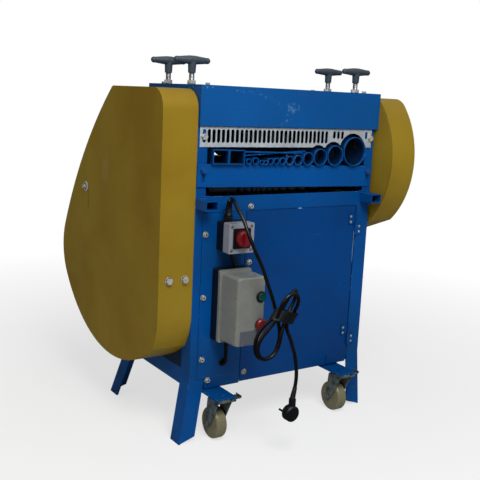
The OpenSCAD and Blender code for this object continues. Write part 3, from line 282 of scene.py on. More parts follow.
def plated_steel(name, colour, dull, roughness, cloud_size=14, metallic=1.0):
    """Zinc-plated steel, pressed or turned: a thin bright film, cloudy, with dull dirt in patches and painted
    shade in sockets, under heads and in corners.
    """
    material, tree, shader, place = begin(name)
    cloud = add(tree, "TexNoise", {"Vector": place, "Scale": grain(cloud_size), "Detail": 5.0}, "Fac")
    clouded = add(tree, "MapRange", [cloud, 0.45, 0.7], "Result")
    film = add(tree, "Mix", {0: clouded, 6: linear(colour), 7: linear(dull)}, 2, data_type="RGBA")
    # Painted shade: ambient occlusion darkens sockets, the ground under heads and corners
    openness = add(tree, "AmbientOcclusion", {"Distance": 0.005}, "AO", samples=4)
    corners = add(tree, "MapRange", [openness, 0.85, 0.45], "Result")
    film = add(tree, "Mix", {0: corners, 6: film, 7: linear("#15130f")}, 2, data_type="RGBA")
    rough = add(tree, "MapRange", [cloud, 0.35, 0.7, roughness, roughness + 0.2], "Result")
    soft = add(tree, "Bevel", {"Radius": 0.0008}, "Normal", samples=4)
    grit = add(tree, "TexNoise", {"Vector": place, "Scale": grain(1.5), "Detail": 2.0}, "Fac")
    bump = add(tree, "Bump", {"Height": grit, "Normal": soft, "Strength": 0.15, "Distance": 0.0002}, 0)
    give(tree, shader, {"Base Color": film, "Roughness": rough, "Normal": bump, "Metallic": metallic})
    return material


def bright_zinc(name):
    """Bright zinc on small bolts and screws, clouded every 6 mm."""
    return plated_steel(name, "#dedad0", "#98938a", 0.24, 6, 0.45)


def painted_bolts(name, paint):
    """The bolts' bright zinc, but with the tray's two clamp bolts under the cabinet's paint."""
    material = bright_zinc(name)
    tree, shader, place, bare = surface_of(material)
    axes = add(tree, "SeparateXYZ", [place]).outputs
    above = add(tree, "MapRange", [axes["Z"], at(0, 0, 609.5).z, at(0, 0, 610).z], "Result")
    below = add(tree, "MapRange", [axes["Z"], at(0, 0, 643.5).z, at(0, 0, 643).z], "Result")
    level = add(tree, "Math", [above, below], 0, operation="MULTIPLY", use_clamp=True)
    ahead = add(tree, "MapRange", [axes["Y"], at(0, 2, 0).y, at(0, 1.5, 0).y], "Result")
    painted = add(tree, "Math", [level, ahead], 0, operation="MULTIPLY", use_clamp=True)
    coat = add(tree, "Mix", {0: painted, 6: bare, 7: linear(paint)}, 2, data_type="RGBA")
    metallic = shader.inputs["Metallic"].default_value
    metal = add(tree, "MapRange", [painted, 0.0, 1.0, metallic, 0.0], "Result")
    give(tree, shader, {"Base Color": coat, "Metallic": metal})
    return material


def turned_steel(name, colour, dark, line, roughness):
    """Bright steel turned in a lathe along the machine's width: fine rings round it, with a smear of oil."""
    material, tree, shader, place = begin(name)
    across = add(tree, "Mapping", {"Vector": place, "Scale": (grain(line), 9.0, 9.0)}, "Vector")
    rings = add(tree, "TexNoise", {"Vector": across, "Scale": 1.0, "Detail": 3.0}, "Fac")
    ringed = add(tree, "MapRange", [rings, 0.4, 0.7, 0.0, 0.5], "Result")
    smear = add(tree, "TexNoise", {"Vector": place, "Scale": grain(35), "Detail": 4.0}, "Fac")
    smeared = add(tree, "MapRange", [smear, 0.5, 0.75, 0.0, 0.6], "Result")
    dull = add(tree, "Math", [ringed, smeared], 0, operation="ADD", use_clamp=True)
    metal = add(tree, "Mix", {0: dull, 6: linear(colour), 7: linear(dark)}, 2, data_type="RGBA")
    rough = add(tree, "MapRange", [rings, 0.3, 0.7, roughness, roughness + 0.18], "Result")
    soft = add(tree, "Bevel", {"Radius": 0.0007}, "Normal", samples=4)
    bump = add(tree, "Bump", {"Height": rings, "Normal": soft, "Strength": 0.3, "Distance": 0.0002}, 0)
    give(tree, shader, {"Base Color": metal, "Roughness": rough, "Normal": bump, "Metallic": 1.0})
    return material


def cast_iron(name, colour, rust):
    """Grey cast iron: a coarse sand-cast skin with pits about 2 mm wide, oily, with brown in its hollows."""
    material, tree, shader, place = begin(name)
    stain = add(tree, "TexNoise", {"Vector": place, "Scale": grain(30), "Detail": 4.0}, "Fac")
    stained = add(tree, "MapRange", [stain, 0.55, 0.75, 0.0, 0.5], "Result")
    iron = add(tree, "Mix", {0: stained, 6: linear(colour), 7: linear(rust)}, 2, data_type="RGBA")
    rough = add(tree, "MapRange", [stain, 0.3, 0.7, 0.45, 0.65], "Result")
    soft = add(tree, "Bevel", {"Radius": 0.0012}, "Normal", samples=4)
    pits = add(tree, "TexNoise", {"Vector": place, "Scale": grain(2.5), "Detail": 6.0}, "Fac")
    bump = add(tree, "Bump", {"Height": pits, "Normal": soft, "Strength": 0.5, "Distance": 0.0005}, 0)
    give(tree, shader, {"Base Color": iron, "Roughness": rough, "Normal": bump, "Metallic": 0.7})
    return material


def moulded(name, colour, worn, roughness, pattern=1.2, specular=0.35, depth=0.00025, yellowing=0.35):
    """Injection-moulded plastic: a fine spark-eroded grain, cloudy fingermarks, and edges rubbed paler."""
    material, tree, shader, place = begin(name)
    marks = add(tree, "TexNoise", {"Vector": place, "Scale": grain(28), "Detail": 4.0}, "Fac")
    marked = add(tree, "MapRange", [marks, 0.4, 0.7, 0.0, yellowing], "Result")
    tint = add(tree, "Mix", {0: marked, 6: linear(colour), 7: linear(worn)}, 2, data_type="RGBA")
    soft = add(tree, "Bevel", {"Radius": 0.0009}, "Normal", samples=4)
    rubbed = add(tree, "Math", [edge_mask(tree, soft), 0.3], 0, operation="MULTIPLY", use_clamp=True)
    tint = add(tree, "Mix", {0: rubbed, 6: tint, 7: linear(worn)}, 2, data_type="RGBA")
    rough = add(tree, "MapRange", [marks, 0.3, 0.7, roughness - 0.05, roughness + 0.1], "Result")
    skin = add(tree, "TexNoise", {"Vector": place, "Scale": grain(pattern), "Detail": 2.0}, "Fac")
    bump = add(tree, "Bump", {"Height": skin, "Normal": soft, "Strength": 0.4, "Distance": depth}, 0)
    give(tree, shader, {"Base Color": tint, "Roughness": rough, "Normal": bump,
                        "Specular IOR Level": specular})
    return material


def handle_finish(name, nylon, steel):
    """T-handle: glass-filled nylon bar and hub with a matt moulded grain, on a bright threaded steel stem."""
    material, tree, shader, place = begin(name)
    # The hub begins 842 mm above the floor
    height = add(tree, "SeparateXYZ", [place], "Z")
    is_bar = add(tree, "MapRange", [height, at(0, 0, 841.8).z, at(0, 0, 841.9).z], "Result")
    is_stem = add(tree, "MapRange", [is_bar, 0.0, 1.0, 1.0, 0.0], "Result")
    marks = add(tree, "TexNoise", {"Vector": place, "Scale": grain(20), "Detail": 4.0}, "Fac")
    faded = add(tree, "MapRange", [marks, 0.4, 0.7, 0.0, 0.6], "Result")
    bar = add(tree, "Mix", {0: faded, 6: linear(nylon), 7: linear("#3c4a55")}, 2, data_type="RGBA")
    dulled = add(tree, "MapRange", [marks, 0.4, 0.7], "Result")
    stem = add(tree, "Mix", {0: dulled, 6: linear(steel), 7: linear("#6f7070")}, 2, data_type="RGBA")
    both = add(tree, "Mix", {0: is_bar, 6: stem, 7: bar}, 2, data_type="RGBA")
    rough = add(tree, "MapRange", [is_bar, 0.0, 1.0, 0.28, 0.46], "Result")
    # A wave is 314 mm long at a scale of 1, and the thread's pitch is 2 mm
    turns = add(tree, "TexWave", {"Vector": place, "Scale": 314 / 2}, "Fac", bands_direction="Z")
    thread = add(tree, "Math", [turns, is_stem], 0, operation="MULTIPLY", use_clamp=True)
    soft = add(tree, "Bevel", {"Radius": 0.002}, "Normal", samples=4)
    cut = add(tree, "Bump", {"Height": thread, "Normal": soft, "Strength": 0.6, "Distance": 0.0007}, 0)
    skin = add(tree, "TexNoise", {"Vector": place, "Scale": grain(1.4), "Detail": 2.0}, "Fac")
    bump = add(tree, "Bump", {"Height": skin, "Normal": cut, "Strength": 0.3, "Distance": 0.0002}, 0)
    give(tree, shader, {"Base Color": both, "Roughness": rough, "Normal": bump, "Metallic": is_stem,
                        "Specular IOR Level": 0.4})
    return material


def rubber(name, colour, dust):
    """Fabric-wrapped rubber belt: matt black, with grey dust worn into its flanks."""
    material, tree, shader, place = begin(name)
    film = add(tree, "TexNoise", {"Vector": place, "Scale": grain(50), "Detail": 3.0}, "Fac")
    filmed = add(tree, "MapRange", [film, 0.45, 0.7, 0.0, 0.5], "Result")
    tint = add(tree, "Mix", {0: filmed, 6: linear(colour), 7: linear(dust)}, 2, data_type="RGBA")
    rough = add(tree, "MapRange", [film, 0.3, 0.7, 0.7, 0.85], "Result")
    wrap = add(tree, "TexNoise", {"Vector": place, "Scale": grain(2), "Detail": 3.0}, "Fac")
    bump = add(tree, "Bump", {"Height": wrap, "Strength": 0.5, "Distance": 0.0004}, 0)
    give(tree, shader, {"Base Color": tint, "Roughness": rough, "Normal": bump, "Specular IOR Level": 0.3})
    return material


# The finishes that are made already, by name
MADE = {}


def finish(name):
    """The finish of that name, made once."""
    if name in MADE:
        return MADE[name]
    values = bpy.context.scene.machine_finish
    blue, mustard = values.blue_code(), values.mustard_code()
    recipes = {
        "blue_enamel": lambda: stove_enamel(name, blue, "#00427c", "#8fabc0", 0.08, 0.34),
        "door_enamel": lambda: stove_enamel(name, "#004184", "#003a76", "#7f9db5", 0.03, 0.32),
        "tray_enamel": lambda: stove_enamel(name, "#00509a", "#00488c", "#8fabc0", 0.09, 0.32),
        "hood_enamel": lambda: hood_enamel(name, "#0c5296", "#0a4c8a", "#7f9db5"),
        "panel_enamel": lambda: panel_enamel(name, blue, "#00427c", "#8fabc0"),
        "guide_enamel": lambda: guide_enamel(name, "#00509a", "#00488c", "#7f9db5"),
        "mustard_enamel": lambda: cover_enamel(name, mustard, "#896c16", "#b9b48c"),
        "galvanised_sheet": lambda: galvanised_sheet(name, "#b4bfc8"),
        "castor_zinc": lambda: plated_steel(name, "#7b8582", "#39423f", 0.3, 14, 0.5),
        "screw_zinc": lambda: bright_zinc(name),
        "fastener_zinc": lambda: painted_bolts(name, "#00488c"),
        # The shafts and rollers get steel painted darker than bright steel, as painted shade inside the head
        "shaded_shaft_steel": lambda: turned_steel(name, "#5f6264", "#2c2e30", 1.6, 0.24),
        "blade_steel": lambda: turned_steel(name, "#8a8d8f", "#505355", 1.0, 0.24),
        "oiled_steel": lambda: plated_steel(name, "#38393b", "#1b1c1e", 0.34, 18),
        "grey_iron": lambda: cast_iron(name, "#3d4043", "#3a2c22"),
        "black_abs": lambda: moulded(name, "#07090c", "#14181c", 0.42, 1.2, 0.35),
        "pale_abs": lambda: moulded(name, "#8f929b", "#7c7f84", 0.36, 1.2, 0.3),
        "cream_abs": lambda: moulded(name, "#80827d", "#6c6d66", 0.3, 1.2, 0.4),
        "grey_plate": lambda: moulded(name, "#5c6068", "#4c5058", 0.42),
        "red_plastic": lambda: moulded(name, "#74101a", "#7e222a", 0.26, 1.2, 0.4),
        "green_plastic": lambda: moulded(name, "#0a4a40", "#1a5c50", 0.3),
        "lead_pvc": lambda: moulded(name, "#050506", "#0d0d10", 0.3, 3.0, 0.35, 0.0003, 0.5),
        "slate_handle": lambda: handle_finish(name, "#39424b", "#b4b6b6"),
        "belt_rubber": lambda: rubber(name, "#161617", "#343330"),
        "cream_nylon": lambda: moulded(name, "#7c785e", "#6d6852", 0.22, 2.0, 0.5),
    }
    MADE[name] = recipes[name]()
    return MADE[name]


# Each finish and the parts of the frame that wear it
WEARS = {
    "blue_enamel": ["posts", "rails", "service_panel", "side_plates", "top_bars", "infeed_sockets",
                    "motor_shelf", "castor_plates", "hinge_leaves", "gearmotor"],
    "panel_enamel": ["body_panels"],
    "door_enamel": ["door"],
    "tray_enamel": ["feed_tray"],
    "guide_enamel": ["guide_tubes"],
    "hood_enamel": ["hood"],
    "mustard_enamel": ["left_cover", "right_cover"],
    "galvanised_sheet": ["guard_strip"],
    "castor_zinc": ["castor_fork_left", "castor_fork_right", "castor_pedal_left", "castor_pedal_right"],
    "fastener_zinc": ["fasteners"],
    "shaded_shaft_steel": ["idler_axle", "blade_shaft", "press_roller", "front_feed_roller", "rear_feed_roller",
                    "jack_shaft"],
    "blade_steel": ["blades"],
    "oiled_steel": ["chain", "blade_gear", "front_feed_gears", "rear_feed_gear", "idler_gear",
                    "driven_sprocket"],
    "grey_iron": ["flange_bearings", "jack_cartridge", "front_blocks", "rear_blocks", "big_pulley",
                  "motor_pulley"],
    "black_abs": ["box_bases", "cord_gland", "power_plug"],
    "pale_abs": ["switch_cover"],
    "cream_abs": ["starter_cover"],
    "red_plastic": ["switch_knob", "stop_button"],
    "green_plastic": ["start_button"],
    "lead_pvc": ["cables"],
    "slate_handle": ["handle_front_left", "handle_front_right", "handle_rear_left", "handle_rear_right"],
    "belt_rubber": ["v_belts"],
    "cream_nylon": ["castor_wheel_left", "castor_wheel_right"],
}


# Modelling

def start_clean():
    """Leaves edit mode and selects nothing."""
    if bpy.context.object and bpy.context.object.mode != "OBJECT":
        bpy.ops.object.mode_set(mode="OBJECT")
    bpy.ops.object.select_all(action="DESELECT")


def settle(piece, name, finish_name, body, smooth=35):
    """Names a finished piece, puts its place into its mesh, and lets it ride on its body."""
    start_clean()
    piece.select_set(True)
    bpy.context.view_layer.objects.active = piece
    bpy.ops.object.transform_apply(location=True, rotation=True, scale=True)
    piece.name = piece.data.name = name
    if piece.type == "MESH":
        bpy.ops.object.shade_smooth_by_angle(angle=math.radians(smooth))
    piece.data.materials.clear()
    piece.data.materials.append(finish(finish_name))
    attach(piece, body)
    return piece


def turned(place, axis, profile, sides=32, ring=False):
    """A turned shape: one ring after another, given as (distance along the axis, radius) in millimetres from
    the place. A ring shape goes round its section and ends where it began; another is closed at both ends."""
    start_clean()
    first, radius = profile[0]
    bpy.ops.mesh.primitive_circle_add(vertices=sides, radius=radius / 1000, location=(0, 0, first / 1000),
                                      fill_type="NOTHING" if ring else "NGON")
    piece = bpy.context.object
    bpy.ops.object.transform_apply(location=True)
    bpy.ops.object.mode_set(mode="EDIT")
    bpy.ops.mesh.select_mode(type="VERT")
    bpy.ops.mesh.select_all(action="SELECT")
    for (low, r0), (high, r1) in zip(profile, profile[1:]):
        bpy.ops.mesh.extrude_region_move(TRANSFORM_OT_translate={"value": (0, 0, (high - low) / 1000)})
        bpy.ops.transform.resize(value=(r1 / r0, r1 / r0, 1), center_override=(0, 0, high / 1000))
    bpy.ops.mesh.select_all(action="SELECT")
    bpy.ops.mesh.remove_doubles(threshold=1e-6)
    bpy.ops.mesh.normals_make_consistent(inside=False)
    bpy.ops.object.mode_set(mode="OBJECT")
    leaning = Vector((0, 0, 1)).rotation_difference(Vector(axis)).to_matrix().to_4x4()
    piece.matrix_world = Matrix.Translation(place) @ leaning
    bpy.ops.object.transform_apply(location=True, rotation=True)
    return piece


def joined(pieces):
    """One object of several."""
    start_clean()
    for piece in pieces:
        piece.select_set(True)
    bpy.context.view_layer.objects.active = pieces[0]
    if len(pieces) > 1:
        bpy.ops.object.join()
    return pieces[0]


def set_out(piece, moves):
    """Copies of the piece, each with its own mesh and moved by one of the matrices, joined into one piece."""
    copies = []
    for move in moves:
        copy = piece.copy()
        copy.data = piece.data.copy()
        copy.data.transform(move)
        bpy.context.collection.objects.link(copy)
        copies.append(copy)
    bpy.data.objects.remove(piece)
    return joined(copies)


def places(xs, y, zs):
    """The moves from the origin to each crossing of columns and rows, on a plane y, all in millimetres."""
    return [Matrix.Translation(at(x, y, z)) for x in xs for z in zs]


def faces_towards(piece, direction, limit):
    """Selects, in edit mode, the faces that look the given way."""
    bpy.ops.object.mode_set(mode="EDIT")
    bpy.ops.mesh.select_mode(type="FACE")
    bpy.ops.mesh.select_all(action="DESELECT")
    mesh = bmesh.from_edit_mesh(piece.data)
    for face in mesh.faces:
        face.select = face.normal.dot(Vector(direction)) > limit
    mesh.select_flush_mode()
    bmesh.update_edit_mesh(piece.data)


def block(low, high, bevel=0.0, segments=3):
    """A block between two corners in millimetres, with its edges rounded."""
    start_clean()
    a, b = at(*low), at(*high)
    bpy.ops.mesh.primitive_cube_add(size=1, location=(a + b) / 2, scale=b - a)
    piece = bpy.context.object
    bpy.ops.object.transform_apply(location=True, rotation=True, scale=True)
    if bevel:
        rounding = piece.modifiers.new("Rounding", "BEVEL")
        rounding.width = bevel / 1000
        rounding.segments = segments
        bpy.ops.object.modifier_apply(modifier=rounding.name)
    return piece


def bent_tube(name, route, radii, sides):
    """A tube along the route, with a radius for each point, all in millimetres, and so many extra steps round
    each quarter."""
    curve = bpy.data.curves.new(name, "CURVE")
    curve.dimensions = "3D"
    spline = curve.splines.new("BEZIER")
    spline.bezier_points.add(len(route) - 1)
    for point, place, radius in zip(spline.bezier_points, route, radii):
        point.co = at(*place)
        point.handle_left_type = point.handle_right_type = "AUTO"
        point.radius = radius / radii[0]
    curve.bevel_depth = radii[0] / 1000
    curve.bevel_resolution = sides
    curve.resolution_u = 8
    curve.use_fill_caps = True
    tube = bpy.data.objects.new(name, curve)
    bpy.context.collection.objects.link(tube)
    return tube


# Sizes and colours that a user may change

def code_of(values):
    """The sRGB hex code of a linear colour."""
    codes = []
    for v in values:
        v = 12.92 * v if v <= 0.0031308 else 1.055 * v ** (1 / 2.4) - 0.055
        codes.append(round(max(0.0, min(1.0, v)) * 255))
    return "#%02x%02x%02x" % tuple(codes)


class MachineFinish(bpy.types.PropertyGroup):
    """Colours of the machine"""
    blue: FloatVectorProperty(name="Blue enamel", description="Colour of the cabinet, hood and tray",
                              subtype="COLOR", default=linear("#004c94")[:3], min=0.0, max=1.0)
    mustard: FloatVectorProperty(name="Mustard enamel", description="Colour of the two drive covers",
                                 subtype="COLOR", default=linear("#957c22")[:3], min=0.0, max=1.0)

    def blue_code(self):
        """The blue as a hex code."""
        return code_of(self.blue)

    def mustard_code(self):
        """The mustard as a hex code."""
        return code_of(self.mustard)


class MachineLead(bpy.types.PropertyGroup):
    """Sizes of the power lead"""
    diameter: FloatProperty(name="Diameter", description="Thickness of the lead's sheath",
                            default=0.0084, min=0.006, max=0.011, unit="LENGTH")
    sides: IntProperty(name="Roundness", description="Extra steps round each quarter of the lead",
                       default=5, min=2, max=8)


class MachineStage(bpy.types.PropertyGroup):
    """Lamps of the stage"""
    key_power: FloatProperty(name="Key lamp", description="Power of the large soft lamp above the front",
                             default=34.0, min=0.0, max=400.0, unit="POWER")
    fill_power: FloatProperty(name="Fill lamp", description="Power of the lamp on the left",
                              default=5.0, min=0.0, max=400.0, unit="POWER")
    sky_level: FloatProperty(name="Sky", description="Level of the light from all around",
                             default=0.22, min=0.0, max=1.0)


# The lead

# The lead's route: from the gland down to the hank, twice round it, and on to the plug
LEAD_DOWN = [(78, -17, 538), (77.5, -19, 553), (74, -30, 567), (67.5, -52, 569), (62, -75, 556),
             (64, -100, 532), (68, -118, 500), (78, -130, 468), (92, -138, 434), (104, -145, 398)]
LEAD_HANK = [(113, -149, 372), (121, -150, 350), (129, -150, 328), (136, -150, 304), (141, -150, 281),
             (138, -150, 257), (127, -150, 236), (110, -150, 227), (92, -150, 229), (79, -150, 243),
             (76, -150, 264), (81, -151, 285), (92, -154, 303), (106, -160, 318), (119, -166, 331),
             (129, -171, 346), (139, -173, 363), (152, -171, 376), (168, -164, 380), (180, -152, 370),
             (181, -145, 352), (171, -145, 334), (157, -151, 317), (144, -158, 299), (136, -162, 279),
             (132, -162, 259), (123, -161, 241), (107, -161, 231), (89, -161, 233), (77, -161, 249),
             (78, -162, 271), (92, -165, 293), (107, -169, 312), (115, -174, 330), (117, -180, 349),
             (124, -184, 367), (141, -185, 378), (160, -181, 373), (170, -174, 357), (169, -167, 338),
             (162, -161, 320)]
LEAD_TAIL = [(155, -157, 304), (156, -157, 289), (161, -162, 273), (165, -168, 254), (168, -174, 235),
             (169, -179, 216), (169, -183, 197), (167, -186, 181), (164, -188, 167), (160, -190, 151),
             (157, -190, 138)]
HANK_WAIST = (140, -164, 325)
# Extra steps round each quarter of a sleeve, and the share of its width that its grooves leave
SLEEVE_SIDES = 5
GROOVE_SHARE = 0.87


class MACHINE_OT_lead(bpy.types.Operator):
    """The power lead that hangs from its gland, tied in a hank above its plug"""
    bl_idname = "machine.lead"
    bl_label = "Power lead"

    def execute(self, context):
        values = context.scene.machine_lead
        radius = values.diameter * 500
        route = LEAD_DOWN + LEAD_HANK + LEAD_TAIL
        lead = bent_tube("power_lead", route, [radius] * len(route), values.sides)
        settle(lead, "power_lead", "lead_pvc", "frame")
        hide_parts("power_cord", "cord_hank")
        # Ribbed sleeve over the gland, narrowing along the lead
        bend = [(78, -17, 530), (78, -17, 538), (77.6, -18, 547), (76.4, -21.5, 556), (74.6, -27, 562.5),
                (71, -35.5, 567)]
        boot = self.sleeve("lead_boot", bend, [8.4, 8.2, 7.6, 7.0, 6.4, 5.3])
        # Sleeve where the lead enters the plug
        neck = [(157, -190, 128), (157, -190, 138), (158.4, -190, 147), (160.6, -189.9, 156),
                (163, -189, 164)]
        sleeve = self.sleeve("plug_boot", neck, [7.2, 6.8, 6.2, 5.7, 5.2])
        # Flat strap round the bundle's waist, pressed oval
        waist = at(*HANK_WAIST)
        band = [(-12, 20.6), (0, 19.6), (12, 20.4), (12, 21.8), (0, 21.2), (-12, 22.0), (-12, 20.6)]
        strap = turned(waist, (0.42, 0.0, 0.9), band, 48, ring=True)
        start_clean()
        strap.select_set(True)
        bpy.context.view_layer.objects.active = strap
        bpy.ops.object.mode_set(mode="EDIT")
        bpy.ops.mesh.select_all(action="SELECT")
        bpy.ops.transform.resize(value=(1.5, 0.86, 1.0), center_override=waist)
        bpy.ops.object.mode_set(mode="OBJECT")
        settle(strap, "lead_strap", "black_abs", "frame")
        return {"FINISHED"}

    def sleeve(self, name, route, radii):
        """A ribbed sleeve on the lead."""
        tube = bent_tube(name, route, radii, SLEEVE_SIDES)
        start_clean()
        tube.select_set(True)
        bpy.context.view_layer.objects.active = tube
        bpy.ops.object.convert(target="MESH")
        self.rib(bpy.context.object)
        return settle(bpy.context.object, name, "black_abs", "frame", 60)

    def rib(self, piece):
        """Presses grooves into the sleeve by narrowing two of every four rings of vertices a little."""
        ring = 2 * SLEEVE_SIDES + 4
        mesh = piece.data
        count = len(mesh.vertices) // ring
        if count * ring != len(mesh.vertices):
            raise RuntimeError("the sleeve's rings were not found")
        for k in range(1, count - 1):
            if k % 4 in (1, 2):
                points = [mesh.vertices[k * ring + j] for j in range(ring)]
                middle = sum((p.co for p in points), Vector()) / ring
                for p in points:
                    p.co = middle + (p.co - middle) * GROOVE_SHARE


# Small pieces

# Middles of what the pieces sit on, and the planes they sit on, in millimetres
LATCH = (-87, 414, 548)
KNOB = (90.5, -58.8, 482.5)
CABLE_HOLE = (88, -2, 175)
SWITCH_FRONT, STARTER_FRONT, DOOR_FRONT, REAR_PANEL = -56, -102, -2.3, 330
BUTTON_X, START_Z, STOP_Z = 119, 356, 292
MOTOR_X, MOTOR_Y, MOTOR_Z, FAN_END = 180, 440, 370, 298
# Height of the lowest rivet of each hinge
HINGES = (466, 171)
ORIGIN = Vector((0, 0, 0))


def screw_head(axis, across, height):
    """A pan-head screw at the origin: a domed head with the hollow of its drive, drawn round."""
    r = across / 2
    return turned(ORIGIN, axis, [(-0.4, r), (height * 0.35, r), (height * 0.75, r * 0.84), (height, r * 0.5),
                                 (height, r * 0.3), (height * 0.45, r * 0.22)], 24)


def rivet(across, height):
    """A blind rivet at the origin: its domed head with the dimple of its pulled mandrel."""
    r = across / 2
    return turned(ORIGIN, FRONT, [(-0.3, r), (height * 0.5, r * 0.95), (height, r * 0.55),
                                  (height, r * 0.3), (height * 0.6, r * 0.26)], 20)


class MACHINE_OT_screws(bpy.types.Operator):
    """Screws of the switch cover, the door and the rear panel"""
    bl_idname = "machine.screws"
    bl_label = "Screws"

    def execute(self, context):
        heads = set_out(screw_head(FRONT, 7.6, 1.2), places((64.5, 116.5), SWITCH_FRONT, (455.5, 509.5)))
        settle(heads, "switch_screws", "grey_plate", "frame")
        # Socket screws on washers, like the service panel's
        socket = [(0, 7.2), (1.1, 7.2), (1.2, 7.0), (1.2, 4.8), (4.6, 4.7), (5.4, 4.2), (5.6, 3.6),
                  (5.6, 2.6), (3.4, 2.4)]
        heads = set_out(turned(ORIGIN, FRONT, socket, 32), places((151,), DOOR_FRONT, (412, 141)))
        settle(heads, "door_screws", "screw_zinc", "door")
        # Round the edge of the rear panel: three down each side, and one above and one below the middle
        moves = [move for x, zs in ((52, (172, 350, 524)), (260, (172, 524)), (468, (172, 350, 524)))
                 for move in places((x,), REAR_PANEL, zs)]
        heads = set_out(screw_head(BACK, 8.5, 3.0), moves)
        settle(heads, "rear_screws", "screw_zinc", "frame")
        return {"FINISHED"}


class MACHINE_OT_latch(bpy.types.Operator):
    """A cup washer round the latch on the left cover"""
    bl_idname = "machine.latch"
    bl_label = "Latch washer"

    def execute(self, context):
        cup = turned(at(*LATCH), LEFT, [(0, 13.5), (0.9, 13.5), (2.1, 11.0), (2.6, 8.6), (2.2, 6.4), (0, 6.4),
                                        (0, 13.5)], 48, ring=True)
        settle(cup, "latch_washer", "screw_zinc", "frame")
        return {"FINISHED"}


class MACHINE_OT_rivets(bpy.types.Operator):
    """Rivets of the two hinges, on the door's leaves and on the post's"""
    bl_idname = "machine.rivets"
    bl_label = "Hinge rivets"

    def execute(self, context):
        # The door's leaf is 27 mm higher than the post's, and each has two rivets 14 mm apart
        on_door = [move for hinge in HINGES for move in places((459,), -4.7, (hinge + 27, hinge + 41))]
        on_post = [move for hinge in HINGES for move in places((490,), -3, (hinge, hinge + 14))]
        settle(set_out(rivet(6.5, 1.7), on_door), "door_rivets", "screw_zinc", "door")
        settle(set_out(rivet(6.5, 1.7), on_post), "post_rivets", "screw_zinc", "frame")
        return {"FINISHED"}


class MACHINE_OT_starter_plate(bpy.types.Operator):
    """A bare grey plate in a shallow rim, low on the starter's front"""
    bl_idname = "machine.starter_plate"
    bl_label = "Starter plate"

    def execute(self, context):
        plate = block((67, -103.1, 247), (114, -101.6, 279), 0.6)
        faces_towards(plate, FRONT, 0.99)
        bpy.ops.mesh.inset(thickness=0.0014, depth=-0.0004)
        bpy.ops.object.mode_set(mode="OBJECT")
        settle(plate, "starter_plate", "grey_plate", "frame")
        return {"FINISHED"}


class MACHINE_OT_buttons(bpy.types.Operator):
    """Collars round the start and stop buttons, and the start button's dished cap"""
    bl_idname = "machine.buttons"
    bl_label = "Buttons"

    def execute(self, context):
        tall = [(-0.3, 9.8), (-0.3, 12.6), (2.8, 12.6), (3.8, 11.7), (4.0, 10.4), (3.6, 9.8), (-0.3, 9.8)]
        # The pressed mushroom head comes to 2 mm from the cover, so its collar is low
        low = [(-0.3, 7.6), (-0.3, 12.2), (0.8, 12.2), (1.4, 11.4), (1.6, 9.4), (1.3, 7.6), (-0.3, 7.6)]
        for name, z, profile in (("start_collar", START_Z, tall), ("stop_collar", STOP_Z, low)):
            piece = turned(at(BUTTON_X, STARTER_FRONT, z), FRONT, profile, 40, ring=True)
            settle(piece, name, "black_abs", "frame")
        # The cap stays 0.2 mm in front of the cover when it is pressed
        dish = [(-1.4, 6.6), (0, 6.6), (0, 9.0), (0.4, 9.4), (1.7, 9.4), (2.5, 8.6), (2.5, 6.8), (2.0, 6.0),
                (1.8, 3.0)]
        cap = turned(at(BUTTON_X, STARTER_FRONT - 4.2, START_Z), FRONT, dish, 40)
        settle(cap, "start_cap", "green_plastic", "start")
        return {"FINISHED"}


class MACHINE_OT_knob(bpy.types.Operator):
    """The isolator's round knob: a fluted skirt and a raised grip across its face"""
    bl_idname = "machine.knob"
    bl_label = "Isolator knob"

    def execute(self, context):
        place = at(*KNOB)
        skirt = turned(place, FRONT, [(0, 18.2), (0.8, 18.9), (11.5, 18.1), (13.2, 17.2), (14.0, 15.8),
                                      (14.0, 9.0), (13.4, 8.0)], 72)
        # Flutes: half of every 20 degrees round the skirt is pressed in by about 0.6 mm
        for vertex in skirt.data.vertices:
            offset = vertex.co - place
            turn = math.degrees(math.atan2(offset.z, offset.x)) % 20
            depth = -offset.y * 1000
            if turn < 9.9 and 0.5 < depth < 13.0 and math.hypot(offset.x, offset.z) > 0.017:
                vertex.co.x -= offset.x * 0.035
                vertex.co.z -= offset.z * 0.035
        grip = block((85.0, -80.3, 466.5), (96.0, -71.5, 498.5), 2.2, 4)
        knob = joined([skirt, grip])
        settle(knob, "isolator_knob", "red_plastic", "main_switch")
        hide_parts("switch_knob")
        return {"FINISHED"}


class MACHINE_OT_grommet(bpy.types.Operator):
    """A rubber grommet where the starter's cable enters the cabinet"""
    bl_idname = "machine.grommet"
    bl_label = "Cable grommet"

    def execute(self, context):
        # The membrane in its middle closes round the cable
        ring = turned(at(*CABLE_HOLE), FRONT, [(0, 2.0), (0, 9.8), (1.3, 9.7), (2.3, 8.6), (2.5, 6.4),
                                               (1.6, 4.9), (1.4, 2.0), (0, 2.0)], 40, ring=True)
        settle(ring, "cable_grommet", "black_abs", "frame", 60)
        return {"FINISHED"}


class MACHINE_OT_welds(bpy.types.Operator):
    """Weld beads at the two sockets and along the cabinet's upper rail"""
    bl_idname = "machine.welds"
    bl_label = "Weld beads"

    def execute(self, context):
        at_sockets = set_out(self.bead(28, 2.1), places((3, 489), -0.8, (567.3, 544.7)))
        on_rail = set_out(self.bead(34, 1.7), places((3, 483), 0.4, (571.2,)))
        settle(joined([at_sockets, on_rail]), "weld_beads", "blue_enamel", "frame", 70)
        return {"FINISHED"}

    def bead(self, length, radius):
        """A bead from the origin to the right, in ripples 2 mm apart, as a row of tacks leaves them."""
        profile = [(0.0, radius * 0.45)]
        for k in range(length // 2):
            wide = radius * (1.0 + 0.13 * math.sin(k * 2.3))
            profile += [(k * 2.0 + 0.6, wide * 0.86), (k * 2.0 + 1.3, wide)]
        profile.append((length, radius * 0.45))
        return turned(ORIGIN, RIGHT, profile, 14)


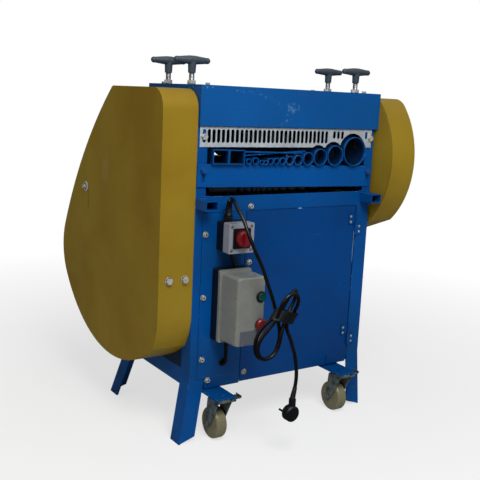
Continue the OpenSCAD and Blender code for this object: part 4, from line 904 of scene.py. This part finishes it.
class MACHINE_OT_motor_fins(bpy.types.Operator):
    """Cooling fins round the motor's casing and the grille of its fan cover"""
    bl_idname = "machine.motor_fins"
    bl_label = "Motor fins"

    def execute(self, context):
        # A fin is 2.2 mm thick and 6.1 mm deep, and there is one every 10 degrees
        fin = block((100.5, MOTOR_Y + 71.5, MOTOR_Z - 1.1), (253.5, MOTOR_Y + 77.6, MOTOR_Z + 1.1), 0.5, 2)
        middle = at(MOTOR_X, MOTOR_Y, MOTOR_Z)
        out, home = Matrix.Translation(middle), Matrix.Translation(-middle)
        turns = [out @ Matrix.Rotation(math.radians(10 * k + 5), 4, "X") @ home for k in range(36)]
        settle(set_out(fin, turns), "motor_fins", "blue_enamel", "frame")
        # Rings and the hub of the fan grille, on the cover's end face
        centre = at(FAN_END, MOTOR_Y, MOTOR_Z)
        grille = []
        for r in (16, 30, 44, 58):
            section = [(-0.2, r), (1.6, r), (1.6, r + 2.4), (-0.2, r + 2.4), (-0.2, r)]
            grille.append(turned(centre, RIGHT, section, 48, ring=True))
        grille.append(turned(centre, RIGHT, [(-0.2, 11), (1.4, 11), (2.0, 9.5)], 32))
        settle(joined(grille), "fan_grille", "blue_enamel", "frame")
        return {"FINISHED"}


class MACHINE_OT_finish_frame(bpy.types.Operator):
    """Gives every part of the frame its finish"""
    bl_idname = "machine.finish_frame"
    bl_label = "Frame finishes"

    def execute(self, context):
        done = set()
        for name, nodes in WEARS.items():
            for node in nodes:
                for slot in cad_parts[node].material_slots:
                    slot.material = finish(name)
                done.add(node)
        left = set(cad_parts) - done - {"power_cord", "cord_hank"}
        if left:
            raise RuntimeError("parts without a finish: " + ", ".join(sorted(left)))
        return {"FINISHED"}


# The stage

# The camera as it was solved from the photograph, in metres, degrees and millimetres
CAMERA_PLACE = (-1.1252, -1.7014, 0.7958)
CAMERA_AZIMUTH, CAMERA_ELEVATION, CAMERA_ROLL = -33.91, 10.51, 2.68
CAMERA_SENSOR, CAMERA_LENS = 36.0, 58.1
WHITE = (1, 1, 1, 1)


class MACHINE_OT_stage(bpy.types.Operator):
    """Camera, lamps, sky and a plain pale floor"""
    bl_idname = "machine.stage"
    bl_label = "Stage"

    def execute(self, context):
        values = context.scene.machine_stage
        self.camera(context)
        self.lamp("key_lamp", (-0.5, -1.55, 1.95), (0.0, -0.1, 0.55), 1.2, values.key_power)
        self.lamp("fill_lamp", (-2.6, -0.6, 1.5), (-0.2, 0.1, 0.5), 1.4, values.fill_power)
        self.sky(context, values.sky_level)
        self.floor()
        context.scene.view_settings.view_transform = "Standard"
        return {"FINISHED"}

    def camera(self, context):
        """The camera, turned by its azimuth, elevation and roll."""
        data = bpy.data.cameras.new("camera")
        camera = bpy.data.objects.new("camera", data)
        context.collection.objects.link(camera)
        azimuth, elevation, roll = (math.radians(v) for v in (CAMERA_AZIMUTH, CAMERA_ELEVATION, CAMERA_ROLL))
        back = Vector((math.sin(azimuth) * math.cos(elevation), -math.cos(azimuth) * math.cos(elevation),
                       math.sin(elevation)))
        right = Vector((0, 0, 1)).cross(back).normalized()
        up = back.cross(right)
        level, tilt = math.cos(roll), math.sin(roll)
        right, up = right * level + up * tilt, up * level - right * tilt
        pose = Matrix((right, up, back)).transposed().to_4x4()
        camera.matrix_world = Matrix.Translation(CAMERA_PLACE) @ pose
        data.sensor_width = CAMERA_SENSOR
        data.lens = CAMERA_LENS
        data.clip_end = 100.0
        context.scene.camera = camera

    def lamp(self, name, place, target, size, power):
        """A round soft lamp that looks at its target."""
        data = bpy.data.lights.new(name, "AREA")
        data.shape = "DISK"
        data.size = size
        data.energy = power
        lamp = bpy.data.objects.new(name, data)
        bpy.context.collection.objects.link(lamp)
        lamp.location = place
        lamp.rotation_euler = (Vector(target) - Vector(place)).to_track_quat("-Z", "Y").to_euler()

    def sky(self, context, level):
        """White where it is seen, a plain soft level as light, and in mirrors a room that is dark below and
        bright above, so that gloss and metal show their form."""
        world = bpy.data.worlds.new("studio")
        context.scene.world = world
        world.use_nodes = True
        tree = world.node_tree
        tree.nodes.clear()
        path = add(tree, "LightPath").outputs
        towards = add(tree, "TexCoord", output="Generated")
        height = add(tree, "SeparateXYZ", [towards], "Z")
        mirrored = add(tree, "MapRange", [height, 0.1, 0.85, 0.05, 0.75], "Result")
        soft = add(tree, "Background", [WHITE, level], 0)
        room = add(tree, "Background", [WHITE, mirrored], 0)
        white = add(tree, "Background", [WHITE, 1.0], 0)
        light = add(tree, "MixShader", [path["Is Glossy Ray"], soft, room], 0)
        mixed = add(tree, "MixShader", [path["Is Camera Ray"], light, white], 0)
        add(tree, "OutputWorld", {"Surface": mixed})

    def floor(self):
        """A pale floor that keeps the machine's shadow, fades into the white and looks dark in mirrors."""
        start_clean()
        bpy.ops.mesh.primitive_plane_add(size=60, location=(0, 0, 0))
        floor = bpy.context.object
        floor.name = "floor"
        material = bpy.data.materials.new("pale_floor")
        material.use_nodes = True
        tree = material.node_tree
        tree.nodes.clear()
        # The shadow shows near the machine, and the floor fades into the white behind it
        place = add(tree, "TexCoord", output="Object")
        away = add(tree, "VectorMath", [place], "Value", operation="LENGTH")
        faded = add(tree, "MapRange", [away, 0.5, 1.9, 0.66, 1.0], "Result")
        path = add(tree, "LightPath").outputs
        share = add(tree, "Math", [path["Is Camera Ray"], faded], 0, operation="MULTIPLY", use_clamp=True)
        lit = add(tree, "BsdfDiffuse", [linear("#efefee")], 0)
        glow = add(tree, "Emission", [WHITE, 1.0], 0)
        pale = add(tree, "MixShader", [share, lit, glow], 0)
        # Gloss and metal mirror a darker floor
        dark = add(tree, "Emission", [WHITE, 0.1], 0)
        mixed = add(tree, "MixShader", [path["Is Glossy Ray"], pale, dark], 0)
        add(tree, "OutputMaterial", {"Surface": mixed})
        floor.data.materials.append(material)


class MACHINE_PT_panel(bpy.types.Panel):
    """Steps that finish the machine"""
    bl_label = "Cable stripping machine"
    bl_idname = "MACHINE_PT_panel"
    bl_space_type = "VIEW_3D"
    bl_region_type = "UI"
    bl_category = "Machine"

    def draw(self, context):
        column = self.layout.column()
        for step in STEPS:
            column.operator(step.bl_idname)
        for group in (context.scene.machine_finish, context.scene.machine_lead, context.scene.machine_stage):
            for name in group.__annotations__:
                column.prop(group, name)


STEPS = (MACHINE_OT_stage, MACHINE_OT_lead, MACHINE_OT_finish_frame, MACHINE_OT_screws, MACHINE_OT_latch,
         MACHINE_OT_rivets, MACHINE_OT_starter_plate, MACHINE_OT_buttons, MACHINE_OT_knob, MACHINE_OT_grommet,
         MACHINE_OT_welds, MACHINE_OT_motor_fins)
GROUPS = (MachineFinish, MachineLead, MachineStage)


def register():
    for kind in GROUPS + STEPS + (MACHINE_PT_panel,):
        bpy.utils.register_class(kind)
    bpy.types.Scene.machine_finish = PointerProperty(type=MachineFinish)
    bpy.types.Scene.machine_lead = PointerProperty(type=MachineLead)
    bpy.types.Scene.machine_stage = PointerProperty(type=MachineStage)


def unregister():
    del bpy.types.Scene.machine_stage
    del bpy.types.Scene.machine_lead
    del bpy.types.Scene.machine_finish
    for kind in reversed(GROUPS + STEPS + (MACHINE_PT_panel,)):
        bpy.utils.unregister_class(kind)


def main():
    """Makes everything in order."""
    register()
    bpy.ops.machine.stage()
    bpy.ops.machine.lead()
    bpy.ops.machine.finish_frame()
    bpy.ops.machine.screws()
    bpy.ops.machine.latch()
    bpy.ops.machine.rivets()
    bpy.ops.machine.starter_plate()
    bpy.ops.machine.buttons()
    bpy.ops.machine.knob()
    bpy.ops.machine.grommet()
    bpy.ops.machine.welds()
    bpy.ops.machine.motor_fins()
    start_clean()


if __name__ == "__main__":
    main()
